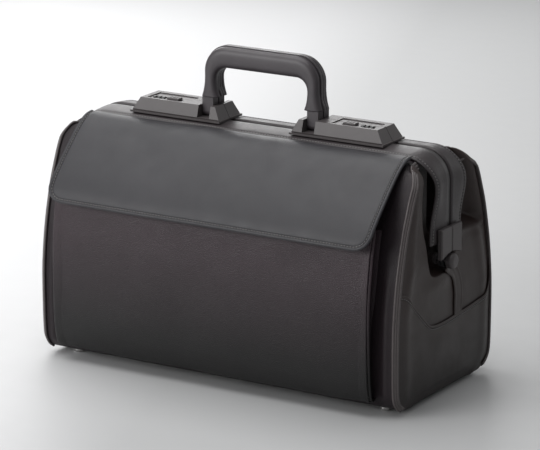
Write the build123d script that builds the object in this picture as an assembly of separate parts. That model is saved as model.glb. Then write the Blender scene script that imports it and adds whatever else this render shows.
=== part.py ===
from build123d import *
import os

os.makedirs("parts", exist_ok=True)

# Millimetres, +Z up. X runs along the bag, -Y is the pocket side, z = 0 is the
# ground under the feet. The parting plane of the frame is modelled at y = 0 and
# every part is moved by PARTING_Y when it is saved, which centres the bag.
PARTING_Y = 10.0

# Body
WALL = 2.0
LINING = 1.2
WALL_HALF_LENGTH = 203.4
SPLIT_Z = 140.0
BASE_Z = 4.0
BASE_FLANGE_Y = 65.8
BOARD_T = 3.0
BOARD_HALF_LENGTH = 201.0
BOARD_HALF_DEPTH = 76.0
PAD_T = 3.0

# (distance from the parting plane, height) of the wall centre line
LOWER_PROFILE = [
    (66.0, 5.0), (70.0, 5.0), (75.0, 5.0), (80.0, 5.6), (88.5, 9.6), (95.0, 16.0), (98.3, 26.0),
    (99.4, 55.0), (99.2, 92.0), (96.8, 118.0), (93.4, 140.0),
]
UPPER_PROFILE = [
    (93.4, 140.0), (88.5, 162.0), (82.0, 185.0), (75.0, 203.0), (68.5, 218.0),
    (61.5, 230.0), (53.0, 239.5), (44.0, 245.6), (36.0, 247.3), (33.4, 247.4),
]
FRAME_FLANGE_IN = 12.4
FRAME_FLANGE_HALF_LENGTH = 177.0

# Piping along the corner seams
PIPING_R = 2.5
PIPING_X = 206.1

# Side gussets: plan arc, shelf under the hinge and the two folded wings
GUSSET_END_X = 203.8
GUSSET_MID_X = 209.0
GUSSET_T = 2.0
GUSSET_TOP = 130.0
GUSSET_EDGE_GAP = 2.9
WING_TOP = 238.0
WING_FOLD_X = 192.0
WING_FLANGE_X = 207.8
PANEL_T = 1.8
PANEL_EDGE = [
    (-96.0, 127.0), (-88.0, 125.0), (-76.0, 117.0), (-60.0, 102.0), (-44.0, 87.5),
    (-28.0, 79.5), (0.0, 77.5), (30.0, 77.5), (55.0, 79.5), (76.0, 84.0), (88.0, 94.0),
    (94.0, 112.0), (96.0, 122.0),
]

# Hinge of the two frame halves
PIVOT_Z = 141.0
PIN_R = 3.0
EYE_BORE_R = 3.08
EYE_R = 7.0
DISC_R = 8.0
DISC_X = (215.0, 222.6)
PIN_INNER_HEAD_X = (199.0, 201.0)
PIN_INNER_HEAD_R = 6.0
CAP_X = (213.5, 218.4)
CAP_TOP = 177.0
CAP_BOTTOM = 146.0
CAP_HALF_DEPTH = 21.0
CAP_ARC_R = 43.3
CAP_ARC_Z = 108.0
STRAP_X = (211.6, 213.4)
STRAP_EYE_R = 8.0
STRAP_CENTRE = [(2.0, 134.0), (18.0, 126.0), (28.0, 112.0), (29.0, 96.0), (26.0, 78.6)]
STRAP_W = 16.0

# Frame: r is the distance outward from the outer line of the U
FRAME_X = 213.5
FRAME_TOP = 253.5
FRAME_CORNER_R = 33.0
FRAME_GAP = 0.3
BAR_T = 3.0
FRONT_BAR_R = (-8.5, -5.5)
FRONT_BAR_DEPTH = 8.0
COVER_R = -5.5
COVER_DEPTH = 31.0
COVER_BOTTOM = 150.0
REAR_BAR_R = (-8.2, -4.2)
REAR_BAR_DEPTH = 11.7
REAR_BAR_BOTTOM = 152.0
REAR_EYE_R_RANGE = (-5.2, -2.4)
BEAD_R = (-4.2, -2.2)
BEAD_DEPTH = 6.0
BEAD_BOTTOM = 161.0

# Lock housings
LOCK_X = (43.0, 149.0)
LOCK_TOP_X = (50.0, 141.0)
LOCK_BASE_HALF = 21.0
LOCK_TOP_HALF = 17.0
LOCK_FLANGE_Z = (253.5, 255.5)
LOCK_FLANGE_OVER = 1.5
LOCK_TOP = 269.0
SLOT_X = (55.3, 69.7)
SLOT_FLOOR = 256.5
RECESS_X = (86.0, 135.0)
RECESS_Y = 13.5
RECESS_DEPTH = 1.0
LATCH_CAVITY_X = (78.0, 113.0)
DIAL_CAVITY_X = (115.5, 133.0)
CAVITY_Y = (-15.5, -2.0)
CAVITY_Z = (256.2, 266.5)
DIAL_X = (119.0, 124.2, 129.4)
DIAL_R = 4.25
DIAL_T = 3.0
DIAL_Y = -6.5
DIAL_Z = 265.4
DIAL_NOTCHES = 10
AXLE_R = 1.0
HANDLE_PIN_X = (47.3, 76.2)
TONGUE_X = (86.0, 96.0)
TONGUE_Y = (-12.0, 12.0)
TONGUE_Z = (256.6, 258.6)
RIVET_X = (47.0, 80.0, 112.0, 143.0)
RIVET_Y = 4.3
RIVET_R = 1.5

# Handle halves
HANDLE_PIVOT_Y = 6.0
HANDLE_PIVOT_Z = 262.0
HANDLE_LEG_X = (56.0, 69.0)
HANDLE_LEG_R = 5.0
HANDLE_OUTER = 67.5
HANDLE_INNER = 54.5
HANDLE_FLARE = 4.0
HANDLE_BOTTOM = 277.2
HANDLE_GRIP_Z = (309.0, 331.0)
HANDLE_OUTER_R = 26.0
HANDLE_INNER_R = 13.0
HANDLE_DEPTH = 12.0
HANDLE_RIM_DEPTH = 3.5
HANDLE_PIN_R = 1.5

# Pocket and flap
POCKET_HALF = 188.0
POCKET_T = 1.8
POCKET_PROFILE = [
    (-115.0, 20.0), (-118.6, 40.0), (-120.3, 80.0), (-119.6, 125.0), (-116.2, 158.0),
    (-112.6, 177.0), (-109.4, 192.0),
]
BELLOWS_T = 1.6
BELLOWS_Z = (20.4, 176.0)
FLAP_HALF = 187.0
FLAP_T = 3.0
FLAP_PROFILE = [
    (-38.8, 250.6), (-47.0, 249.4), (-58.0, 244.4), (-70.0, 235.2), (-84.0, 222.6),
    (-97.0, 210.0), (-108.0, 198.2), (-115.6, 188.0), (-119.4, 180.0), (-120.4, 174.5),
]
FLAP_BOTTOM = 174.5
FLAP_BEND = 3
FLAP_CORNER_R = 20.0
FLAP_SEAM_Y = (-38.2, -32.4)
FLAP_SEAM_Z = (249.4, 251.4)

# Feet
FOOT_X = 185.0
FOOT_Y = 73.0
FOOT_R = 6.0
FOOT_ROUND = 2.6
FOOT_SHANK_R = 2.0
FOOT_HEAD_R = 3.5
WASHER_R = 6.0


def save(node, *shapes):
    """Move the solids of one part into place and write them as one file."""
    placed = [shape.moved(Location((0, PARTING_Y, 0))) for shape in shapes]
    result = placed[0] if len(placed) == 1 else Compound(children=placed)
    result.label = node
    export_step(result, f"parts/{node}.step")


def box(x, y, z):
    """Axis-aligned block from three (low, high) pairs."""
    size = (abs(x[1] - x[0]), abs(y[1] - y[0]), abs(z[1] - z[0]))
    centre = ((x[0] + x[1]) / 2, (y[0] + y[1]) / 2, (z[0] + z[1]) / 2)
    return Pos(*centre) * Box(*size)


def rod_x(radius, x, y, z):
    """Cylinder along X between the two x values."""
    middle = Pos((x[0] + x[1]) / 2, y, z)
    return middle * Rot(0, 90, 0) * Cylinder(radius, abs(x[1] - x[0]))


def rod_z(radius, x, y, z):
    """Cylinder along Z between the two z values."""
    return Pos(x, y, (z[0] + z[1]) / 2) * Cylinder(radius, abs(z[1] - z[0]))


def prism_x(points, x):
    """Polygon of (y, z) points extruded along X."""
    face = make_face(Polyline(*[(x[0], p[0], p[1]) for p in points], close=True))
    return extrude(face, amount=x[1] - x[0], dir=(1, 0, 0))


def offset_points(points, distance):
    """Shift a (y, z) polyline sideways; positive is to the left of its direction."""
    moved = []
    for i, point in enumerate(points):
        before = points[max(i - 1, 0)]
        after = points[min(i + 1, len(points) - 1)]
        run = Vector(after[0] - before[0], after[1] - before[1]).normalized()
        moved.append((point[0] - run.Y * distance, point[1] + run.X * distance))
    return moved


def sheet(points, thickness, x):
    """Bent sheet: a smooth (y, z) centre line given a thickness, extruded along X."""
    outer = offset_points(points, thickness / 2)
    inner = offset_points(points, -thickness / 2)
    outer_line = Spline(*[(x[0], p[0], p[1]) for p in outer])
    inner_line = Spline(*[(x[0], p[0], p[1]) for p in inner])
    start = Line(outer_line @ 0, inner_line @ 0)
    end = Line(outer_line @ 1, inner_line @ 1)
    face = make_face([outer_line, end, inner_line, start])
    return extrude(face, amount=x[1] - x[0], dir=(1, 0, 0))


def facing(points, side):
    """Profile of the front (side -1) or rear (side 1) of the body."""
    return [(side * p[0], p[1]) for p in points]


def mirror_x(shape):
    return mirror(shape, about=Plane.YZ)


def mirror_y(shape):
    return mirror(shape, about=Plane.XZ)


def half_depth(z):
    """Half depth of the body at a height, from the wall centre line."""
    line = LOWER_PROFILE[2:] + UPPER_PROFILE[1:]
    if z <= line[0][1]:
        return line[0][0]
    for low, high in zip(line, line[1:]):
        if z <= high[1]:
            share = (z - low[1]) / (high[1] - low[1])
            return low[0] + share * (high[0] - low[0])
    return line[-1][0]


# Base
FOOT_PLACES = [(x, y) for x in (-FOOT_X, FOOT_X) for y in (-FOOT_Y, FOOT_Y)]
board_z = (BASE_Z + WALL, BASE_Z + WALL + BOARD_T)
foot_bores = [rod_z(FOOT_SHANK_R, x, y, (0, 30)) for x, y in FOOT_PLACES]

base_skin = box((-201, 201), (-BASE_FLANGE_Y, BASE_FLANGE_Y), (BASE_Z, BASE_Z + WALL))
save("base_skin", base_skin)

base_board = box(
    (-BOARD_HALF_LENGTH, BOARD_HALF_LENGTH), (-BOARD_HALF_DEPTH, BOARD_HALF_DEPTH), board_z
)
base_board -= foot_bores

base_pad = box((-198, 198), (-84, 84), (board_z[1], board_z[1] + PAD_T))
base_pad -= [rod_z(9, x, y, (0, 30)) for x, y in FOOT_PLACES]
base_pad = fillet(base_pad.edges().filter_by(Axis.Z).group_by(Axis.X)[0], 3)
save("base_pad", base_pad)

feet = []
washers = []
for x, y in FOOT_PLACES:
    dome = rod_z(FOOT_R, x, y, (0, BASE_Z))
    dome = fillet(dome.edges().group_by(Axis.Z)[0], FOOT_ROUND)
    shank = rod_z(FOOT_SHANK_R, x, y, (3, board_z[1] + 1.5))
    head = rod_z(FOOT_HEAD_R, x, y, (board_z[1] + 1.2, board_z[1] + 2.2))
    feet.append(dome + shank + head)
    washer = rod_z(WASHER_R, x, y, (board_z[1], board_z[1] + 1.2))
    washers.append(washer - rod_z(FOOT_SHANK_R, x, y, (0, 30)))
save("bag_feet", *feet)
save("foot_washers", *washers)

# Walls and linings
for side, name in ((-1, "front"), (1, "rear")):
    span = (-WALL_HALF_LENGTH, WALL_HALF_LENGTH)
    lower = sheet(facing(LOWER_PROFILE, side), WALL, span)
    lower &= box(span, (-130, 130), (BASE_Z, SPLIT_Z))
    lower -= foot_bores
    base_board -= lower
    save(f"{name}_wall", lower)
    upper = sheet(facing(UPPER_PROFILE, side), WALL, span)
    upper &= box(span, (-130, 130), (SPLIT_Z, 260))
    flange_x = (-FRAME_FLANGE_HALF_LENGTH, FRAME_FLANGE_HALF_LENGTH)
    flange_y = (side * FRAME_FLANGE_IN, side * 33.6)
    upper += box(flange_x, flange_y, (246.4, 247.9))
    save(f"{name}_upper_wall", upper)
    inside = [(p[0] - 1.9, p[1]) for p in LOWER_PROFILE[6:-1]] + [(93.0, 132.0)]
    lining = sheet(facing(inside, side), LINING, (-200, 200))
    save(f"{name}_lining", lining)
save("base_board", base_board)

# Piping
PIPING = []
for side, name in ((-1, "front"), (1, "rear")):
    points = LOWER_PROFILE[2:-1] + UPPER_PROFILE[:-1]
    cords = []
    for x in (-PIPING_X, PIPING_X):
        path = Spline(*[(x, side * p[0], p[1]) for p in points])
        start = Plane(origin=path @ 0, z_dir=path % 0)
        cords.append(sweep(start * Circle(PIPING_R), path=path))
    PIPING += cords
    save(f"{name}_piping", *cords)


# Gussets and side panels
def plan_arc(offset):
    """Outline of the bulged side at a distance outside the gusset's inner face."""
    end = GUSSET_END_X + offset
    middle = GUSSET_MID_X + offset
    return ThreePointArc((end, -105, 0), (middle, 0, 0), (end, 105, 0))


def bulged_layer(inner, outer, z):
    """Curved upright layer between two offsets of the side outline."""
    near = plan_arc(inner)
    far = plan_arc(outer)
    face = make_face([near, Line(near @ 1, far @ 1), far, Line(far @ 0, near @ 0)])
    return Pos(0, 0, z[0]) * extrude(face, amount=z[1] - z[0], dir=(0, 0, 1))


def side_window(z_points, gap):
    """Prism that trims a side layer just inside the piping."""
    right = [(half_depth(z) - gap, z) for z in z_points]
    left = [(-y, z) for y, z in reversed(right)]
    return prism_x(right + left, (150, 260))


WINDOW_Z = [5.6, 9.0, 16.0, 26.0, 55.0, 92.0, 118.0, 131.0]


def wing(side):
    """Folded part of the gusset between a wall edge and a frame leg."""
    sections = []
    for z in (GUSSET_TOP - 2, 150, 175, 200, 220, WING_TOP):
        edge = half_depth(z) - GUSSET_EDGE_GAP
        fold_y = (edge + COVER_DEPTH) / 2
        fold_x = WING_FOLD_X + 0.05 * (z - GUSSET_TOP)
        line = [
            (GUSSET_END_X + 1.5, edge), (fold_x + GUSSET_T, fold_y),
            (WING_FLANGE_X, COVER_DEPTH), (WING_FLANGE_X, FRAME_FLANGE_IN),
        ]
        back = [(x - 1.8, y) for x, y in line]
        back[2] = (line[2][0] - 1.8, line[2][1] - 0.4)
        outline = [(x, side * y, z) for x, y in line + back[::-1]]
        sections.append(make_face(Polyline(*outline, close=True)))
    return loft(sections, ruled=True)


def frame_sweep(section, bottom):
    """Sweep a closed (r, y) section along the U of the frame."""
    points = [
        (-FRAME_X, 0, bottom), (-FRAME_X, 0, FRAME_TOP),
        (FRAME_X, 0, FRAME_TOP), (FRAME_X, 0, bottom),
    ]
    path = FilletPolyline(*points, radius=FRAME_CORNER_R)
    start = Plane(origin=points[0], x_dir=(-1, 0, 0), z_dir=(0, 0, 1))
    face = make_face(Polyline(*[(r, -y) for r, y in section], close=True))
    return sweep(start * face, path=path)


def shelf():
    """Closes the gusset under the hinge, from the bulged side in to the wings."""
    edge = half_depth(GUSSET_TOP) - GUSSET_EDGE_GAP
    fold_y = (edge + COVER_DEPTH) / 2
    rear = [
        (GUSSET_END_X, edge), (WING_FOLD_X + 0.2, fold_y), (WING_FLANGE_X - 1.8, COVER_DEPTH - 0.4),
        (WING_FLANGE_X - 1.8, 0.0),
    ]
    line = [(x, -y) for x, y in rear] + [(x, y) for x, y in rear[::-1][1:]]
    trim = bulged_layer(-20, GUSSET_T, (GUSSET_TOP - 2, GUSSET_TOP))
    points = line + [(240, edge), (240, -edge)]
    face = make_face(Polyline(*[(x, y, GUSSET_TOP - 2) for x, y in points], close=True))
    return extrude(face, amount=2, dir=(0, 0, 1)) & trim


lower_side = bulged_layer(0, GUSSET_T, (4.2, GUSSET_TOP)) & side_window(WINDOW_Z, GUSSET_EDGE_GAP)
gusset = lower_side + shelf() + wing(-1) + wing(1)
cover_space = [(COVER_R - 0.1, -31.3), (20, -31.3), (20, 31.3), (COVER_R - 0.1, 31.3)]
gusset -= frame_sweep(cover_space, COVER_BOTTOM - 1)
gusset -= PIPING
save("right_gusset", gusset)
save("left_gusset", mirror_x(gusset))

panel = bulged_layer(GUSSET_T, GUSSET_T + PANEL_T, (4.2, GUSSET_TOP + 2))
panel &= side_window(WINDOW_Z, GUSSET_EDGE_GAP + 0.2)
panel_top = Spline(*[(150, y, z) for y, z in PANEL_EDGE])
ends = [(150, 130, 122), (150, 130, 200), (150, -130, 200), (150, -130, 127)]
panel_frame = Polyline(panel_top @ 1, *ends, panel_top @ 0)
panel -= extrude(make_face([panel_top, panel_frame]), amount=110, dir=(1, 0, 0))
panel -= PIPING
save("right_side_panel", panel)
save("left_side_panel", mirror_x(panel))

# Hinge pins and straps
pin = rod_x(PIN_R, (PIN_INNER_HEAD_X[0], DISC_X[1]), 0, PIVOT_Z)
pin += rod_x(PIN_INNER_HEAD_R, PIN_INNER_HEAD_X, 0, PIVOT_Z)
disc = rod_x(DISC_R, DISC_X, 0, PIVOT_Z)
pin += fillet(disc.edges().group_by(Axis.X)[-1], 3.6)
save("right_hinge_pin", pin)
save("left_hinge_pin", mirror_x(pin))

strap_left = Spline(*[(STRAP_X[0], y, z) for y, z in offset_points(STRAP_CENTRE, STRAP_W / 2)])
strap_right = Spline(*[(STRAP_X[0], y, z) for y, z in offset_points(STRAP_CENTRE, -STRAP_W / 2)])
strap_ends = [Line(strap_left @ 0, strap_right @ 0), Line(strap_left @ 1, strap_right @ 1)]
strap_face = make_face([strap_left, strap_right] + strap_ends)
strap = extrude(strap_face, amount=STRAP_X[1] - STRAP_X[0], dir=(1, 0, 0))
strap += rod_x(STRAP_EYE_R, STRAP_X, 0, PIVOT_Z)
strap -= rod_x(PIN_R, (200, 220), 0, PIVOT_Z)
strap -= panel
save("right_hinge_strap", strap)
save("left_hinge_strap", mirror_x(strap))


# Frame halves
def eye(r_range, side, height):
    """Flat end of a frame leg with a round eye on the hinge."""
    x = (FRAME_X + r_range[0], FRAME_X + r_range[1])
    leg = box(x, (side * FRAME_GAP, side * (FRAME_GAP + 6.7)), (PIVOT_Z, height))
    plate = rod_x(EYE_R, x, 0, PIVOT_Z) + leg
    return plate - rod_x(EYE_BORE_R, (190, 230), 0, PIVOT_Z)


def rivet_set(side, z_low):
    """Rivets that hold the two lock housings of one frame half."""
    rivets = []
    for x in [sign * value for sign in (-1, 1) for value in RIVET_X]:
        shank = rod_z(RIVET_R, x, side * RIVET_Y, (z_low, LOCK_FLANGE_Z[1]))
        head = rod_z(3.0, x, side * RIVET_Y, (z_low - 1.2, z_low))
        rivets.append(shank + head)
    return rivets


front_bar = frame_sweep(
    [
        (FRONT_BAR_R[0], -FRAME_GAP), (FRONT_BAR_R[1], -FRAME_GAP),
        (FRONT_BAR_R[1], -FRAME_GAP - FRONT_BAR_DEPTH),
        (FRONT_BAR_R[0], -FRAME_GAP - FRONT_BAR_DEPTH),
    ],
    REAR_BAR_BOTTOM,
)
front_eye = eye(FRONT_BAR_R, -1, REAR_BAR_BOTTOM + 2)
front_rivets = rivet_set(-1, FRAME_TOP + FRONT_BAR_R[0])
front_bar = front_bar + front_eye + mirror_x(front_eye)
front_bar -= front_rivets
save("front_frame_bar", front_bar)

cover_section = [
    (COVER_R, -COVER_DEPTH), (-3.2, -COVER_DEPTH), (-2.2, -27.0), (-1.0, -18.0), (-0.2, -9.0),
    (0.0, -5.0), (0.0, -1.6), (-0.8, -0.8), (COVER_R, -0.8),
]
front_cover = frame_sweep(cover_section, COVER_BOTTOM)
front_cover -= front_rivets
save("front_frame_cover", front_cover)

rear_bar = frame_sweep(
    [
        (REAR_BAR_R[0], FRAME_GAP), (REAR_BAR_R[1], FRAME_GAP),
        (REAR_BAR_R[1], FRAME_GAP + REAR_BAR_DEPTH), (REAR_BAR_R[0], FRAME_GAP + REAR_BAR_DEPTH),
    ],
    REAR_BAR_BOTTOM,
)
rear_eye = eye(REAR_EYE_R_RANGE, 1, REAR_BAR_BOTTOM + 8)
rear_rivets = rivet_set(1, FRAME_TOP + REAR_BAR_R[0])
rear_bar = rear_bar + rear_eye + mirror_x(rear_eye)
rear_bar -= rear_rivets
save("rear_frame_bar", rear_bar)

bead = frame_sweep(
    [
        (BEAD_R[0], FRAME_GAP), (BEAD_R[1] - 0.6, FRAME_GAP), (BEAD_R[1], FRAME_GAP + 0.8),
        (BEAD_R[1], FRAME_GAP + BEAD_DEPTH), (BEAD_R[0], FRAME_GAP + BEAD_DEPTH),
    ],
    BEAD_BOTTOM,
)
bead -= rear_rivets
save("frame_bead", bead)

rear_section = [
    (COVER_R + 1.3, 12.0), (COVER_R + 1.3, 7.0), (-0.8, 7.0), (0.0, 7.8), (-0.2, 11.0),
    (-1.0, 18.0), (-2.2, 27.0), (-3.2, COVER_DEPTH), (COVER_R, COVER_DEPTH), (COVER_R, 12.0),
]
rear_cover = frame_sweep(rear_section, COVER_BOTTOM)
rear_cover -= rear_eye
rear_cover -= mirror_x(rear_eye)
save("rear_frame_cover", rear_cover)

cap = box(CAP_X, (-CAP_HALF_DEPTH, -FRAME_GAP), (CAP_BOTTOM, CAP_TOP))
cap = chamfer(cap.faces().sort_by(Axis.X)[-1].edges(), 1.2)
cap -= rod_x(CAP_ARC_R, (200, 230), 0, CAP_ARC_Z)
front_caps = [cap, mirror_x(cap)]
save("front_hinge_caps", *front_caps)
save("rear_hinge_caps", *[mirror_y(c) for c in front_caps])


# Lock housings
def housing():
    """Front half of the right-hand housing, without the parts inside."""
    low = Rectangle(LOCK_X[1] - LOCK_X[0], LOCK_BASE_HALF - FRAME_GAP)
    low_y = -(LOCK_BASE_HALF + FRAME_GAP) / 2
    low = Pos((LOCK_X[0] + LOCK_X[1]) / 2, low_y, LOCK_FLANGE_Z[1]) * low
    high = Rectangle(LOCK_TOP_X[1] - LOCK_TOP_X[0], LOCK_TOP_HALF - FRAME_GAP)
    high_y = -(LOCK_TOP_HALF + FRAME_GAP) / 2
    high = Pos((LOCK_TOP_X[0] + LOCK_TOP_X[1]) / 2, high_y, LOCK_TOP) * high
    body = loft([low.faces()[0], high.faces()[0]], ruled=True)
    outer = fillet(body.edges().group_by(Axis.Y)[0].filter_by(Axis.X), 1.0)
    flange_x = (LOCK_X[0] - LOCK_FLANGE_OVER, LOCK_X[1] + LOCK_FLANGE_OVER)
    flange_y = (-LOCK_BASE_HALF - LOCK_FLANGE_OVER, -FRAME_GAP)
    flange = box(flange_x, flange_y, LOCK_FLANGE_Z)
    solid = outer + flange
    solid -= box(SLOT_X, (-40, 5), (SLOT_FLOOR, 290))
    solid -= rod_x(HANDLE_PIN_R, HANDLE_PIN_X, -HANDLE_PIVOT_Y, HANDLE_PIVOT_Z)
    return solid


rear_housing_seat = housing()
front_housing = housing()
front_housing -= box(RECESS_X, (-RECESS_Y, 5), (LOCK_TOP - RECESS_DEPTH, 290))
front_housing -= box(LATCH_CAVITY_X, CAVITY_Y, CAVITY_Z)
front_housing -= box(DIAL_CAVITY_X, CAVITY_Y, CAVITY_Z)
front_housing -= box((TONGUE_X[0] - 1, TONGUE_X[1] + 1), (-3, 5), (256.3, 260.2))
front_housing -= box((95.5, 107.6), (-9.6, -5.4), (260, 290))
front_housing -= rod_x(AXLE_R, (114.0, 134.6), DIAL_Y, DIAL_Z)
for x in DIAL_X:
    slot_x = (x - DIAL_T / 2 - 0.3, x + DIAL_T / 2 + 0.3)
    front_housing -= box(slot_x, (DIAL_Y - DIAL_R - 0.3, DIAL_Y + DIAL_R + 0.3), (260, 290))
front_housing -= front_rivets
save("right_front_lock_case", front_housing)
save("left_front_lock_case", mirror_x(front_housing))

rear_housing = mirror_y(rear_housing_seat)
rear_housing -= box((86.0, 135.0), (-5, 10.5), (LOCK_TOP - RECESS_DEPTH, 290))
rear_housing -= box(TONGUE_X, (-5, TONGUE_Y[1]), TONGUE_Z)
rear_housing -= rear_rivets
save("right_rear_lock_case", rear_housing)
save("left_rear_lock_case", mirror_x(rear_housing))

save("front_lock_rivets", *front_rivets)
save("rear_lock_rivets", *rear_rivets)

# Catch tongue with a side notch. The slide is modelled released; moved 5 mm inward
# its pin stands in the notch and holds the tongue.
tongue = box(TONGUE_X, TONGUE_Y, TONGUE_Z)
tongue -= box((91.0, 100.0), (-8.6, -4.4), (250, 265))
save("right_catch", tongue)
save("left_catch", mirror_x(tongue))

slide = box((98.0, 112.0), (-11.6, -3.4), (LOCK_TOP - RECESS_DEPTH + 0.2, 270.8))
slide = chamfer(slide.edges().group_by(Axis.Z)[-1], 0.7)
for x in (101.5, 105.0, 108.5):
    slide -= Pos(x, -7.5, 271.2) * Rot(90, 0, 0) * Cylinder(0.9, 20)
slide += box((101.0, 107.0), (-9.0, -6.0), (261.5, 268.6))
slide += box((89.0, 112.0), (-12.0, -3.0), (259.4, 262.0))
slide += box((97.3, 100.3), (-8.0, -5.0), (256.8, 259.6))
save("right_slide", slide)
save("left_slide", mirror_x(slide))

axle = rod_x(AXLE_R, (114.0, 134.6), DIAL_Y, DIAL_Z)
save("right_dial_axle", axle)
save("left_dial_axle", mirror_x(axle))

for number, x in enumerate(DIAL_X, start=1):
    dial = rod_x(DIAL_R, (x - DIAL_T / 2, x + DIAL_T / 2), DIAL_Y, DIAL_Z)
    dial -= rod_x(AXLE_R + 0.08, (x - 5, x + 5), DIAL_Y, DIAL_Z)
    for place in PolarLocations(DIAL_R + 0.15, DIAL_NOTCHES):
        spot = place.position
        dial -= rod_x(0.45, (x - 5, x + 5), DIAL_Y + spot.X, DIAL_Z + spot.Y)
    save(f"right_dial_{number}", dial)
    save(f"left_dial_{number}", mirror_x(dial))


# Handle halves
def handle_ring(grow, y):
    """U of the grip between two y values; grow enlarges the outer outline."""
    outer = HANDLE_OUTER + grow
    inner = HANDLE_INNER
    bottom = HANDLE_BOTTOM
    top = HANDLE_GRIP_Z[1] + grow
    outside = [
        (outer + HANDLE_FLARE, bottom), (outer + 1.2, bottom + 9), (outer, bottom + 20),
        (outer, top - HANDLE_OUTER_R),
    ]
    inside = [
        (inner - HANDLE_FLARE, bottom), (inner - 1.2, bottom + 8), (inner, bottom + 16),
        (inner, HANDLE_GRIP_Z[0] - HANDLE_INNER_R),
    ]

    def outline(line, top_z, radius):
        right = Spline(*[(x, y[0], z) for x, z in line], tangents=[(0, 0, 1), (0, 0, 1)])
        left = Spline(*[(-x, y[0], z) for x, z in line], tangents=[(0, 0, 1), (0, 0, 1)])
        start = (line[-1][0], y[0], line[-1][1])
        end = (-line[-1][0], y[0], line[-1][1])
        corner = (line[-1][0] - radius, y[0], top_z)
        arc_right = quarter_arc(start, corner, radius)
        across = Line(corner, (-corner[0], y[0], top_z))
        arc_left = quarter_arc((-corner[0], y[0], top_z), end, radius)
        base = Line(left @ 0, right @ 0)
        return make_face([right, arc_right, across, arc_left, left, base])

    ring = outline(outside, top, HANDLE_OUTER_R) - outline(inside, HANDLE_GRIP_Z[0], HANDLE_INNER_R)
    return extrude(ring, amount=y[1] - y[0], dir=(0, 1, 0))


def quarter_arc(start, end, radius):
    """Quarter arc in the XZ plane, bulging up and outward."""
    sign = 1 if start[0] + end[0] > 0 else -1
    side = min(abs(start[0]), abs(end[0]))
    low = min(start[2], end[2])
    middle = (sign * (side + radius * 0.70710678), start[1], low + radius * 0.70710678)
    return ThreePointArc(start, middle, end)


front_pad = handle_ring(0.0, (-HANDLE_DEPTH, -HANDLE_RIM_DEPTH))
front_pad = fillet(front_pad.faces().sort_by(Axis.Y)[0].edges(), 3.0)
save("front_handle_pad", front_pad)
save("rear_handle_pad", mirror_y(front_pad))

core = handle_ring(0.8, (-HANDLE_RIM_DEPTH, -FRAME_GAP))
leg = box(HANDLE_LEG_X, (-11.0, -1.0), (HANDLE_PIVOT_Z, HANDLE_BOTTOM))
leg += box(HANDLE_LEG_X, (-HANDLE_RIM_DEPTH, -1.0), (HANDLE_BOTTOM - 1, HANDLE_BOTTOM + 6))
leg += rod_x(HANDLE_LEG_R, HANDLE_LEG_X, -HANDLE_PIVOT_Y, HANDLE_PIVOT_Z)
core = core + leg + mirror_x(leg)
core -= rod_x(HANDLE_PIN_R + 0.08, (-90, 90), -HANDLE_PIVOT_Y, HANDLE_PIVOT_Z)
save("front_handle_core", core)
save("rear_handle_core", mirror_y(core))

handle_pin = rod_x(HANDLE_PIN_R, HANDLE_PIN_X, -HANDLE_PIVOT_Y, HANDLE_PIVOT_Z)
front_pins = [handle_pin, mirror_x(handle_pin)]
save("front_handle_pins", *front_pins)
save("rear_handle_pins", *[mirror_y(p) for p in front_pins])

# Front pocket and flap
pocket_panel = sheet(POCKET_PROFILE, POCKET_T, (-POCKET_HALF, POCKET_HALF))
save("pocket_panel", pocket_panel)

bellows_plan = [
    (187.6, -122.0), (187.6, -116.6), (177.5, -109.0), (187.6, -101.4), (187.6, -96.0),
    (186.0, -96.0), (186.0, -99.8), (174.5, -109.0), (186.0, -118.0), (186.0, -122.0),
]
outline = Polyline(*[(x, y, BELLOWS_Z[0]) for x, y in bellows_plan], close=True)
bellows_side = extrude(make_face(outline), amount=BELLOWS_Z[1] - BELLOWS_Z[0], dir=(0, 0, 1))
wall_face = [(-101.0, 15.0), (-101.0, 92.0), (-98.4, 118.0), (-94.6, 142.0), (-86.0, 176.0)]
pocket_face = offset_points(POCKET_PROFILE, -POCKET_T / 2)
bellows_side &= prism_x(wall_face + pocket_face[::-1], (170, 190))
bellows_side -= pocket_panel
bellows_base = box((-187.6, 187.6), (-114.0, -100.6), (18.6, 20.2))
bellows_base -= pocket_panel
save("pocket_bellows", bellows_side, mirror_x(bellows_side), bellows_base)

flap = sheet(FLAP_PROFILE, FLAP_T, (-FLAP_HALF, FLAP_HALF))
flap_outline = Plane.XZ * Pos(0, (FLAP_BOTTOM + 320) / 2) * RectangleRounded(
    2 * FLAP_HALF, 320 - FLAP_BOTTOM, FLAP_CORNER_R
)
flap &= extrude(flap_outline, amount=300, both=True)

# The leather bends where it leaves the shoulder, square to its profile there
bend_y, bend_z = FLAP_PROFILE[FLAP_BEND]
before, after = FLAP_PROFILE[FLAP_BEND - 1], FLAP_PROFILE[FLAP_BEND + 1]
bend_run = Vector(0, after[0] - before[0], after[1] - before[1])
bend_plane = Plane(origin=(0, bend_y, bend_z), x_dir=(1, 0, 0), z_dir=bend_run)
below_bend = bend_plane * Pos(0, 0, 100) * Box(500, 200, 200)
save("flap_shoulder", flap - below_bend)
save("flap", flap & below_bend)

save("flap_seam_strip", box((-176, 176), FLAP_SEAM_Y, FLAP_SEAM_Z))
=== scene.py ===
import math

import bpy
import numpy as np
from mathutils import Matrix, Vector, noise


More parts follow.
